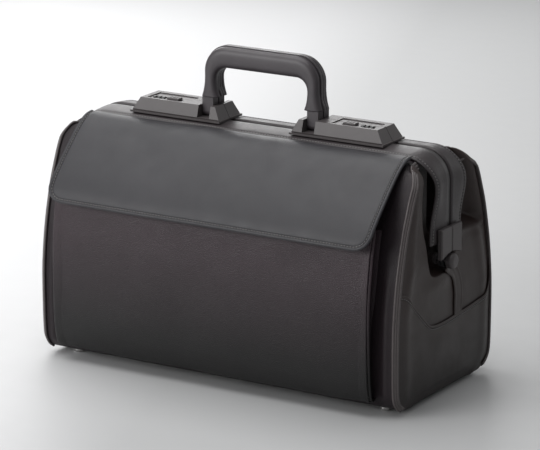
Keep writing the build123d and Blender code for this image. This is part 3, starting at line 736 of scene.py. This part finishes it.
base_y = np.linspace(-67, 67, 20)
base_x = np.linspace(-203, 203, 50)
bx, by = np.meshgrid(base_x, base_y)
base_z = np.full_like(bx, 4.2)
base = shell("base_leather", np.stack([bx, by, base_z], axis=-1), 1.4, (0, 0, -1), SIDE)
finish_piece(base, "bag_body", ("base_skin",))

# Piping: two thin cords with a filler between them on every corner seam
pipe_s = np.linspace(20.0, WALL_CURVE.length - 4.0, 120)
pipe_line = WALL_CURVE.at(pipe_s)
for side, word in ((-1, "front"), (1, "rear")):
    parts = []
    for end in (-1, 1):
        for dx, dy, r in ((-1.5, 1.9, 1.35), (1.7, -1.3, 1.35), (-0.3, -0.1, 1.9)):
            normal = WALL_CURVE.normal(pipe_s)
            pipe_y = side * (pipe_line[:, 0] + normal[:, 0] * dy)
            pipe_z = pipe_line[:, 1] + normal[:, 1] * dy
            pipe_x = PIPING_X + dx - seam_inset(pipe_line[:, 1])
            pipe_z = pipe_z - corner_droop(pipe_x, pipe_line[:, 1])
            pipe_z = pipe_z - rear_sag(side, pipe_x, pipe_line[:, 1])
            parts.append(tube_parts(np.stack([end * pipe_x, pipe_y, pipe_z], axis=-1), r, 12))
    piping = add_parts(f"{word}_corner_piping", parts, PIPING_PAINTED_HIGHLIGHT)
    finish_piece(piping, None, (f"{word}_piping",))
    bend_piece(piping)


# Side gussets: one height field, cut into a lower skin and two upper halves
def inside_distance(y, z, polygon):
    """Distance to a (y, z) outline, positive inside it."""
    p = np.stack([y, z], axis=-1)
    corners = np.asarray(polygon, float)
    best = np.full(y.shape, 1e9)
    inside = np.zeros(y.shape, bool)
    for a, b in zip(corners, np.roll(corners, -1, axis=0)):
        d = b - a
        t = np.clip(((p - a) @ d) / (d @ d), 0, 1)
        best = np.minimum(best, np.linalg.norm(p - a - t[..., None] * d, axis=-1))
        crosses = (a[1] > z) != (b[1] > z)
        with np.errstate(divide="ignore", invalid="ignore"):
            cut = (b[0] - a[0]) * (z - a[1]) / (b[1] - a[1]) + a[0]
        inside ^= crosses & (y < cut)
    return np.where(inside, best, -best)


def outline(points):
    return Curve(points, fine=6, closed=True).points[:-1]


FRONT_HOLLOW_LINE = outline(FRONT_HOLLOW)
REAR_HOLLOW_LINE = outline(REAR_HOLLOW)


def side_x(y, z):
    """How far out the right-hand side leather stands."""
    edge = edge_depth(z)
    t = np.clip(np.abs(y) / edge, 0, 1)
    puff = np.interp(z, [3, 8, 16, 40, 110, 150, 200, 246], [0.4, 3.0, 5.2, 6.6, 6.6, 6.2, 5.4, 3])
    x = 204.3 + puff * (1 - t**5) ** 0.6 + 3.4 * t**6
    ridge = np.interp(z, [3, 25, 100, 140, 200, 246], [0.2, 1.6, 2.0, 3.2, 2.6, 1.0])
    ridge_place = edge - np.interp(z, [3, 100, 150, 200, 246], [17, 17, 22, 15, 6])
    x = x + ridge * np.exp(-((np.abs(y) - ridge_place) / 9.0) ** 2)
    x = x - 1.6 * np.exp(-(((y - 20) / 22.0) ** 2)) * smoothstep((z - 70) / 25)
    lip = np.exp(-(((y + 10) / 24.0) ** 2) - ((z - 120.0) / 8.0) ** 2)
    x = x + 2.6 * lip
    deep = inside_distance(y, z, FRONT_HOLLOW_LINE)
    x = x - 28.0 * smoothstep((deep + 5.0) / 9.0)
    shallow = inside_distance(y, z, REAR_HOLLOW_LINE)
    x = x - 21.0 * smoothstep((shallow + 4.0) / 16.0)
    crease = (z - 157.5 - 0.02 * (y - 50)) / 3.5
    x = x - 1.4 * np.exp(-crease**2) * smoothstep((y - 30) / 14) * smoothstep((88 - y) / 12)
    rise = np.clip(z - CORNER_Z, 0, 27.0)
    inner_line = CORNER_X + np.sqrt(27.3**2 - rise**2)
    near_leg = smoothstep((37.0 - np.abs(y)) / 4.0) * smoothstep((z - 146.0) / 6.0)
    x = x - seam_inset(z) * (1 - near_leg)
    return np.where(near_leg > 0, x - near_leg * np.maximum(x - (inner_line - 4.0), 0), x)


def side_grid(z_values, from_edge, to_edge, cols):
    """Grid on the side: from -1 (front seam) or the split (0) to the split or +1 (rear seam)."""
    z = np.repeat(np.asarray(z_values)[:, None], cols, axis=1)
    split_z = [place_z for _, place_z in GUSSET_SPLIT]
    split_y = np.interp(z, split_z, [place_y for place_y, _ in GUSSET_SPLIT])
    seam = edge_depth(z) - 0.8
    low = np.where(from_edge < 0, -seam, split_y)
    high = np.where(to_edge > 0, seam, split_y)
    y = low + (high - low) * np.linspace(0.0, 1.0, cols)[None, :]
    x = side_x(y, z)
    points = np.stack([x, y, z], axis=-1)
    points[..., 0] += ripple(points, *SIDE_WAVES)
    return points


low_z = np.concatenate([np.linspace(4.2, 16, 9), np.linspace(19, GUSSET_SPLIT_Z, 16)])
high_z = np.concatenate([
    np.linspace(GUSSET_SPLIT_Z, 100, 16), np.linspace(101.2, 135, 30), np.linspace(136.6, 246, 74),
])
for end, word in ((1, "right"), (-1, "left")):
    skin = side_grid(low_z, -1.0, 1.0, 104)
    front_half = side_grid(high_z, -1.0, 0.0, 84)
    rear_half = side_grid(high_z, 0.0, 1.0, 70)
    if end < 0:
        skin, front_half, rear_half = mirrored(skin), mirrored(front_half), mirrored(rear_half)
    obj = shell(f"{word}_side_skin", skin, 1.4, (end, 0, 0), SIDE, LINING, 0.2)
    finish_piece(obj, "bag_body", (f"{word}_gusset",))
    for side, half, grid in ((-1, "front", front_half), (1, "rear", rear_half)):
        obj = shell(f"{word}_{half}_gusset_fold", grid, 1.4, (end, 0, 0), SIDE, LINING, 0.2)
        finish_piece(obj, None, (f"{word}_gusset",))
        bend_piece(obj)

# Side overlay with a turned, stitched top edge
PANEL_CURVE = Curve(PANEL_TOP)


def panel_top(y):
    return np.interp(y, PANEL_CURVE.points[:, 0], PANEL_CURVE.points[:, 1])


def panel_points(share, up, lift):
    """Points on the overlay: share across the depth, up from the base to the top edge."""
    y0 = share * PANEL_HALF_DEPTH
    top = panel_top(y0)
    z = PANEL_BOTTOM + up * (top - PANEL_BOTTOM)
    y = share * (edge_depth(z) - 2.0)
    return np.stack([side_x(y, z) + lift, y, z], axis=-1)


panel_up = np.concatenate([np.linspace(0, 0.12, 8), np.linspace(0.15, 0.9, 34),
                           np.linspace(0.915, 1.0, 16)])
panel_share = np.linspace(-1, 1, 110)
share_grid, up_grid = np.meshgrid(panel_share, panel_up)
drop = (1 - up_grid) * (panel_top(share_grid * PANEL_HALF_DEPTH) - PANEL_BOTTOM)
panel_lift = 1.7 + 0.45 * np.exp(-((drop - 1.4) / 1.2) ** 2)
panel_lift = panel_lift - 0.5 * np.exp(-((drop - PANEL_STITCH_IN) / 0.9) ** 2)
panel_base = panel_points(share_grid, up_grid, panel_lift)
panel_base[..., 0] += ripple(panel_base, *SIDE_WAVES)
stitch_share = np.linspace(-0.97, 0.97, 240)
stitch_up = 1 - PANEL_STITCH_IN / (panel_top(stitch_share * PANEL_HALF_DEPTH) - PANEL_BOTTOM)
panel_seam = panel_points(stitch_share, stitch_up, 1.35)
panel_seam[..., 0] += ripple(panel_seam, *SIDE_WAVES)
for end, word in ((1, "right"), (-1, "left")):
    grid = panel_base if end > 0 else mirrored(panel_base)
    seam = panel_seam if end > 0 else mirrored(panel_seam)
    obj = shell(f"{word}_side_overlay", grid, 1.5, (end, 0, 0), SIDE)
    finish_piece(obj, "bag_body", (f"{word}_side_panel",))
    normals = np.repeat([[float(end), 0.0, 0.0]], len(seam), axis=0)
    thread = add_stitches(f"{word}_overlay_stitches", [(seam, normals)])
    finish_piece(thread, "bag_body")

# Hinge straps
STRAP_LINE = [(1.0, 138.0), (8.0, 133.0), (18.0, 126.0), (25.5, 115.0), (29.0, 101.0),
              (28.5, 90.0), (26.5, 77.0)]
strap_curve = Curve(STRAP_LINE)
strap_s = np.linspace(0, strap_curve.length, 60)
strap_w = np.linspace(-1, 1, 17)
sw, ss = np.meshgrid(strap_w, strap_s)
strap_mid = strap_curve.at(ss)
strap_t = strap_curve.tangent(ss)
strap_across = np.stack([-strap_t[..., 1], strap_t[..., 0]], axis=-1)
strap_half = 7.6 + 0.8 * smoothstep((30 - ss) / 30)
strap_yz = strap_mid + strap_across * (sw * strap_half)[..., None]
strap_lift = 1.7 + 0.5 * np.exp(-((np.abs(sw) - 0.82) / 0.1) ** 2) - 0.3 * sw**2
pleat = 0.35 * np.cos(sw * 9.0) * smoothstep((40 - ss) / 30)
strap_x = np.maximum(side_x(strap_yz[..., 0], strap_yz[..., 1]), 209.0 + 3 * smoothstep((18 - ss) / 18))
strap_grid = np.stack([strap_x + strap_lift + pleat, strap_yz[..., 0], strap_yz[..., 1]], axis=-1)
for end, word in ((1, "right"), (-1, "left")):
    grid = strap_grid if end > 0 else mirrored(strap_grid)
    obj = shell(f"{word}_hinge_tab", grid, 1.6, (end, 0, 0), SIDE)
    finish_piece(obj, "bag_body", (f"{word}_hinge_strap",))


# Frame covers
def frame_path(bottom, step=4.0):
    """Places along the U of the frame: x, z and the outward direction in XZ."""
    centre_x = FRAME_X - FRAME_CORNER_R
    centre_z = FRAME_TOP - FRAME_CORNER_R
    rows = []
    for z in np.linspace(bottom, centre_z, int((centre_z - bottom) / step) + 1)[:-1]:
        rows.append((-FRAME_X, z, -1.0, 0.0))
    for a in np.linspace(math.pi, math.pi / 2, 25):
        rows.append((-centre_x + FRAME_CORNER_R * math.cos(a),
                     centre_z + FRAME_CORNER_R * math.sin(a), math.cos(a), math.sin(a)))
    for x in np.linspace(-centre_x, centre_x, 70)[1:-1]:
        rows.append((x, FRAME_TOP, 0.0, 1.0))
    right = [(-x, z, -nx, nz) for x, z, nx, nz in rows[:-68]]
    return np.array(rows + right[::-1])


def edge_flare(path):
    """Extra height of the cover's free edge, below the corners of the frame."""
    on_leg = np.abs(path[:, 2])
    return COVER_FLARE * on_leg * np.exp(-((path[:, 1] - 218.0) / 26.0) ** 2)


def cover_width(path, side):
    """Share of the cover's full width along the frame; the free edge waves a little."""
    on_leg = np.abs(path[:, 2])
    reach = np.where(path[:, 1] > 216.0, 32.0, 22.0)
    near = np.exp(-((path[:, 1] - 216.0) / reach) ** 2)
    return 1.0 + on_leg * near * (-0.17 if side < 0 else 0.16)


def cover_points(path, y, r, side):
    flare = edge_flare(path)[:, None] * smoothstep((np.abs(y) - 8.0) / 22.0)[None, :]
    height = r[None, :] + flare
    x = path[:, 0:1] + path[:, 2:3] * height
    z = path[:, 1:2] + path[:, 3:4] * height
    outer_part = smoothstep((np.abs(y) - 8.0) / 16.0)[None, :]
    stretch = 1.0 + (cover_width(path, side)[:, None] - 1.0) * outer_part
    depth = side * np.abs(y)[None, :] * stretch
    return np.stack([x, depth, z], axis=-1)


def cover_section(start):
    """Outer line of the cover, from the parting side to the turned front edge."""
    outer = [(start, -5.4), (start, -2.0), (start + 0.3, -0.9), (start + 1.4, -0.1)]
    for y in np.linspace(start + 3.5, 25.0, 9):
        outer.append((y, -0.1 - 2.2 * ((y - 3.0) / 24.0) ** 2))
    outer += [(26.0, -2.35), (26.8, -2.75), (27.4, -2.95), (28.0, -2.7), (28.8, -2.35), (29.8, -2.5),
              (30.8, -3.0), (31.4, -3.9), (31.3, -4.9), (30.4, -5.6), (26.0, -5.6)]
    return np.array(outer)


def sweep_cover(name, side, start, bottom, material):
    section = cover_section(start)
    path = frame_path(bottom)
    points = cover_points(path, section[:, 0], section[:, 1], side)
    rows, cols = points.shape[:2]
    faces = grid_faces(rows, cols, wrap=True, flip=side < 0)
    cap = list(range(cols))
    faces.append(cap if side > 0 else cap[::-1])
    tail = [(rows - 1) * cols + k for k in range(cols)]
    faces.append(tail[::-1] if side > 0 else tail)
    flat = points.reshape(-1, 3)
    obj = add_object(name, flat, faces, [material])
    seam_y = np.array([COVER_SEAM_Y])
    seam_r = np.array([COVER_SEAM_R])
    seam = cover_points(path, seam_y, seam_r, side)[:, 0]
    normals = np.stack([path[:, 2], np.zeros(len(path)), path[:, 3]], axis=-1)
    return obj, (seam, normals)


for side, word, start, bottom in ((-1, "front", 0.8, 162.0), (1, "rear", 7.0, 151.0)):
    cover, seam = sweep_cover(f"{word}_cover_leather", side, start, bottom, COVER)
    finish_piece(cover, f"{word}_frame", (f"{word}_frame_cover",))
    thread = add_stitches(f"{word}_cover_stitches", [seam])
    finish_piece(thread, f"{word}_frame")

# Front pocket
POCKET_CURVE = Curve(POCKET_PROFILE)


def pocket_points(x, s, lift=0.0):
    centre = POCKET_CURVE.at(s)
    normal = POCKET_CURVE.normal(s)
    across = np.abs(x) / POCKET_HALF
    out = 0.9 + lift - 2.4 * across**10
    depth = centre[..., 0] + normal[..., 0] * out
    height = centre[..., 1] + normal[..., 1] * out
    return np.stack([x, POCKET_SET_BACK - depth, height], axis=-1)


pocket_fine = [POCKET_STITCH_IN, 2 * POCKET_HALF - POCKET_STITCH_IN]
pocket_x = graded(2 * POCKET_HALF, 8.0, pocket_fine, 0.5, 3.4) - POCKET_HALF
pocket_s = np.linspace(0, POCKET_CURVE.length, 60)
px, ps = np.meshgrid(pocket_x, pocket_s)
inset = POCKET_HALF - np.abs(px)
pocket_lift = 0.5 * np.exp(-((inset - 1.4) / 1.0) ** 2)
pocket_lift = pocket_lift - 0.7 * np.exp(-((inset - POCKET_STITCH_IN) / 0.7) ** 2)
pocket_lift = pocket_lift + ripple(np.stack([px, ps * 0, ps], axis=-1), *POCKET_WAVES)
pocket = shell("pocket_front", pocket_points(px, ps, pocket_lift), 1.8, (0, -1, 0), GRAINED)
finish_piece(pocket, "bag_body", ("pocket_panel",))
parts = []
for end in (-1, 1):
    seam_s = np.linspace(1.0, POCKET_CURVE.length - 1.0, 80)
    seam_x = np.full_like(seam_s, end * (POCKET_HALF - POCKET_STITCH_IN))
    seam_lift = ripple(np.stack([seam_x, seam_s * 0, seam_s], axis=-1), *POCKET_WAVES) - 0.5
    seam = pocket_points(seam_x, seam_s, seam_lift)
    normal = POCKET_CURVE.normal(seam_s)
    normals = np.stack([np.zeros(len(seam_s)), -normal[:, 0], normal[:, 1]], axis=-1)
    parts.append((seam, normals))
finish_piece(add_stitches("pocket_stitches", parts), "bag_body")

# Pocket bellows
fold_share = np.linspace(0, 1, 15)
bellows_s = np.linspace(2.0, POCKET_CURVE.length - 5.0, 50)
parts = []
for end in (-1, 1):
    rows = []
    for s in bellows_s:
        front_y, z = POCKET_CURVE.at(s)
        front_y -= POCKET_SET_BACK
        back_y = edge_depth(max(z, 8.0)) + 0.8
        line = []
        for f in fold_share:
            x = POCKET_HALF - 2.6 - 22.0 * math.sin(math.pi * f) ** 0.6
            line.append((end * x, -(front_y - 0.6 + (back_y - front_y + 0.6) * f), z))
        rows.append(line)
    points, faces, _ = shell_parts(np.array(rows), 1.2, (end, 0, 0))
    parts.append((points, faces))
lower = []
for share in np.linspace(0, 1, 8):
    front_y, z = POCKET_CURVE.at(1.5) - (POCKET_SET_BACK, 0.0)
    y = -(front_y - (front_y - 97.0) * share)
    lower.append([(x, y, z - 0.5 - 1.5 * math.sin(math.pi * share)) for x in np.linspace(-186, 186, 40)])
points, faces, _ = shell_parts(np.array(lower), 1.2, (0, 0, -1))
parts.append((points, faces))
finish_piece(add_parts("pocket_bellows_fold", parts, GRAINED), "bag_body",
             ("pocket_bellows",))

# Flap
FLAP_CURVE = Curve(FLAP_PROFILE)
FLAP_LENGTH = FLAP_CURVE.length


def flap_half_width(s):
    """Half width of the flap at a distance down from its top."""
    over = np.clip(s - (FLAP_LENGTH - FLAP_CORNER_R), 0, FLAP_CORNER_R)
    return FLAP_HALF - FLAP_CORNER_R + np.sqrt(np.maximum(FLAP_CORNER_R**2 - over**2, 0))


def flap_points(x, s, lift):
    centre = FLAP_CURVE.at(s)
    tangent = FLAP_CURVE.tangent(s)
    normal = np.stack([-tangent[..., 1], tangent[..., 0]], axis=-1)
    across = np.abs(x) / FLAP_HALF
    out = FLAP_T / 2 + lift - 1.6 * across**8 * smoothstep(s / 30)
    depth = centre[..., 0] + normal[..., 0] * out
    height = centre[..., 1] + normal[..., 1] * out
    return np.stack([x, -depth, height], axis=-1)


def fold_flap(obj):
    """Bakes the flap's placement into its mesh."""
    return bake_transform(obj)


def flap_inset(x, s):
    """Distance from the flap's free edge."""
    side_gap = FLAP_HALF - np.abs(x)
    end_gap = FLAP_LENGTH - s
    corner_x = np.maximum(FLAP_CORNER_R - side_gap, 0)
    corner_s = np.maximum(FLAP_CORNER_R - end_gap, 0)
    corner = FLAP_CORNER_R - np.hypot(corner_x, corner_s)
    return np.where((corner_x > 0) & (corner_s > 0), corner, np.minimum(side_gap, end_gap))


insets = np.array([0, 0.6, 1.2, 1.9, 2.6, 3.1, 3.6, 4.1, 4.7, 5.6, 7.0, 9.5, 13.0])
middle_share = np.linspace(-1, 1, 52)
flap_s = np.concatenate([
    np.linspace(0, FLAP_LENGTH - FLAP_CORNER_R - 1, 34),
    FLAP_LENGTH - FLAP_CORNER_R * (1 - np.sin(np.linspace(0.03, math.pi / 2, 24))),
])
rows = []
for s in flap_s:
    half = float(flap_half_width(s))
    left = [-half + i for i in insets]
    middle = list(middle_share[1:-1] * (half - insets[-1]))
    rows.append([(x, s) for x in left + middle + [-v for v in left[::-1]]])
rows = np.array(rows)
fx, fs = rows[..., 0], rows[..., 1]
gap = flap_inset(fx, fs)
flap_lift = 0.55 * np.exp(-((gap - 1.6) / 1.2) ** 2)
flap_lift = flap_lift - 0.75 * np.exp(-((gap - FLAP_STITCH_IN) / 0.75) ** 2)
flap_lift = flap_lift + ripple(np.stack([fx, fs * 0, fs], axis=-1), *FLAP_WAVES)
flap = shell("flap_leather", flap_points(fx, fs, flap_lift), FLAP_T - 0.4, (0, -1, 0.5), SMOOTH)
finish_piece(flap, None, ("flap", "flap_shoulder"))
fold_flap(flap)

seam_points = []
inner_r = FLAP_CORNER_R - FLAP_STITCH_IN
for s in np.linspace(1.0, FLAP_LENGTH - FLAP_CORNER_R, 40):
    seam_points.append((-(FLAP_HALF - FLAP_STITCH_IN), s))
for a in np.linspace(0, math.pi / 2, 14)[1:-1]:
    seam_points.append((-(FLAP_HALF - FLAP_CORNER_R + inner_r * math.cos(a)),
                        FLAP_LENGTH - FLAP_CORNER_R + inner_r * math.sin(a)))
for x in np.linspace(-(FLAP_HALF - FLAP_CORNER_R), 0, 60):
    seam_points.append((x, FLAP_LENGTH - FLAP_STITCH_IN))
seam_points += [(-x, s) for x, s in seam_points[-2::-1]]
seam_points = np.array(seam_points)
sx, sv = seam_points[:, 0], seam_points[:, 1]
seam_lift = ripple(np.stack([sx, sv * 0, sv], axis=-1), *FLAP_WAVES) - 0.55
seam = flap_points(sx, sv, seam_lift)
tangent = FLAP_CURVE.tangent(sv)
normals = np.stack([np.zeros(len(sx)), tangent[:, 1], tangent[:, 0]], axis=-1)
thread = finish_piece(add_stitches("flap_stitches", [(seam, normals)]), None)
fold_flap(thread)

strip_y, strip_x = np.meshgrid(
    np.linspace(*SEAM_STRIP_Y, 6), np.linspace(-SEAM_STRIP_HALF, SEAM_STRIP_HALF, 60), indexing="ij")
strip_points = np.stack([strip_x, strip_y, np.full_like(strip_x, SEAM_STRIP_Z)], axis=-1)
strip = shell("flap_seam_leather", strip_points, SEAM_STRIP_T, (0, 0, 1), SMOOTH)
finish_piece(strip, "flap_seam", ("flap_seam_strip",))


# Handle grips
def handle_outline(half, top, radius, flare, bottom, straighten):
    """Right half of a grip outline from the foot to the middle of the top."""
    leg = [(half + flare, bottom), (half + flare * 0.55, bottom + straighten * 0.28),
           (half + flare * 0.18, bottom + straighten * 0.62), (half, bottom + straighten)]
    leg_curve = Curve(leg + [(half, top - radius)])
    points = list(leg_curve.at(np.linspace(0, leg_curve.length, 22)))
    for a in np.linspace(0, math.pi / 2, 14)[1:]:
        points.append((half - radius + radius * math.cos(a), top - radius + radius * math.sin(a)))
    for x in np.linspace(half - radius, 0, 12)[1:]:
        points.append((x, top))
    return np.array(points)


def grip(name, side):
    outer = handle_outline(HANDLE_OUTER, HANDLE_GRIP_Z[1], 26.0, HANDLE_FLARE, HANDLE_BOTTOM, 20.0)
    inner = handle_outline(HANDLE_INNER, HANDLE_GRIP_Z[0], 13.0, -HANDLE_FLARE, HANDLE_BOTTOM, 16.0)
    outer = np.vstack([outer, (outer * (-1, 1))[-2::-1]])
    inner = np.vstack([inner, (inner * (-1, 1))[-2::-1]])
    angles = np.linspace(0, math.pi, 17)
    across = np.sign(np.cos(angles)) * np.abs(np.cos(angles)) ** 0.72
    depth = np.sin(angles) ** 0.62
    rows = []
    for o, i in zip(outer, inner):
        middle, half = (o + i) / 2, (o - i) / 2
        xz = middle[None, :] + across[:, None] * half[None, :]
        y = HANDLE_RIM_DEPTH + depth * (HANDLE_DEPTH - HANDLE_RIM_DEPTH)
        rows.append(np.stack([xz[:, 0], side * y, xz[:, 1]], axis=-1))
    grid = np.array(rows)
    count, cols = grid.shape[:2]
    faces = grid_faces(count, cols, wrap=True, flip=side > 0)
    cap = list(range(cols))
    tail = [(count - 1) * cols + k for k in range(cols)]
    faces.append(cap[::-1] if side > 0 else cap)
    faces.append(tail if side > 0 else tail[::-1])
    return add_object(name, grid.reshape(-1, 3), faces, [GRIP])


for side, word in ((-1, "front"), (1, "rear")):
    pad = grip(f"{word}_grip", side)
    finish_piece(pad, f"{word}_handle", (f"{word}_handle_pad",))

# Linings and the padded floor
lining_curve = Curve([(p[0] - 2.2, p[1] + 0.6) for p in WALL_PROFILE[4:11]])
for side, word in ((-1, "front"), (1, "rear")):
    s = np.linspace(0, lining_curve.length, 30)
    x = np.linspace(-LINING_HALF, LINING_HALF, 60)
    gx, gs = np.meshgrid(x, s)
    line = lining_curve.at(gs)
    grid = np.stack([gx, side * line[..., 0], line[..., 1]], axis=-1)
    obj = shell(f"{word}_lining_cloth", grid, LINING_T, (0, -side, 0), LINING)
    finish_piece(obj, "bag_body", (f"{word}_lining",))

pad_x, pad_y = np.meshgrid(np.linspace(-FLOOR_PAD_HALF_X, FLOOR_PAD_HALF_X, 70),
                           np.linspace(-FLOOR_PAD_HALF_Y, FLOOR_PAD_HALF_Y, 34))
pad_edge = np.minimum(FLOOR_PAD_HALF_X - np.abs(pad_x), FLOOR_PAD_HALF_Y - np.abs(pad_y))
pad_z = FLOOR_PAD_Z + FLOOR_PAD_RISE * smoothstep(pad_edge / 7.0) ** 0.6
floor_pad = shell("base_floor_pad", np.stack([pad_x, pad_y, pad_z], axis=-1), 0.5, (0, 0, 1), LINING)
finish_piece(floor_pad, "bag_body", ("base_pad",))

# CAD nodes that stay: finishes and eased edges
LOCK_CASES = [f"{end}_{side}_lock_case" for end in ("left", "right") for side in ("front", "rear")]
HINGE_CAPS = ["front_hinge_caps", "rear_hinge_caps"]
SLIDES = ["left_slide", "right_slide"]
CORES = ["front_handle_core", "rear_handle_core"]
FINISHES = {
    BLACK_PLASTIC: LOCK_CASES + HINGE_CAPS + SLIDES + ["left_hinge_pin", "right_hinge_pin"],
    GRIP: CORES,
    DIAL: [f"{end}_dial_{k}" for end in ("left", "right") for k in (1, 2, 3)],
    BEAD: ["frame_bead"],
    STEEL: ["front_frame_bar", "rear_frame_bar", "front_lock_rivets", "rear_lock_rivets",
            "front_handle_pins", "rear_handle_pins", "left_catch", "right_catch",
            "left_dial_axle", "right_dial_axle"],
    BRIGHT: ["bag_feet", "foot_washers"],
    BOARD: ["base_board"],
}
for material, names in FINISHES.items():
    for name in names:
        node = NODES[name]
        node.data.materials.clear()
        node.data.materials.append(material)

# Modifiers round these nodes' edges by so many millimetres; their own vertices stay as packed
EASED = [(name, width) for names, width in
         ((LOCK_CASES, 0.7), (HINGE_CAPS, 0.6), (CORES, 0.8), (SLIDES, 0.25)) for name in names]
WELD_DISTANCE = 0.00001
EASED_ANGLE = math.radians(35)
for name, width in EASED:
    node = NODES[name]
    weld = node.modifiers.new("weld", "WELD")
    weld.merge_threshold = WELD_DISTANCE
    ease = node.modifiers.new("ease", "BEVEL")
    ease.width = width * MM
    ease.segments = 2
    ease.limit_method = "ANGLE"
    ease.angle_limit = EASED_ANGLE
    ease.harden_normals = True
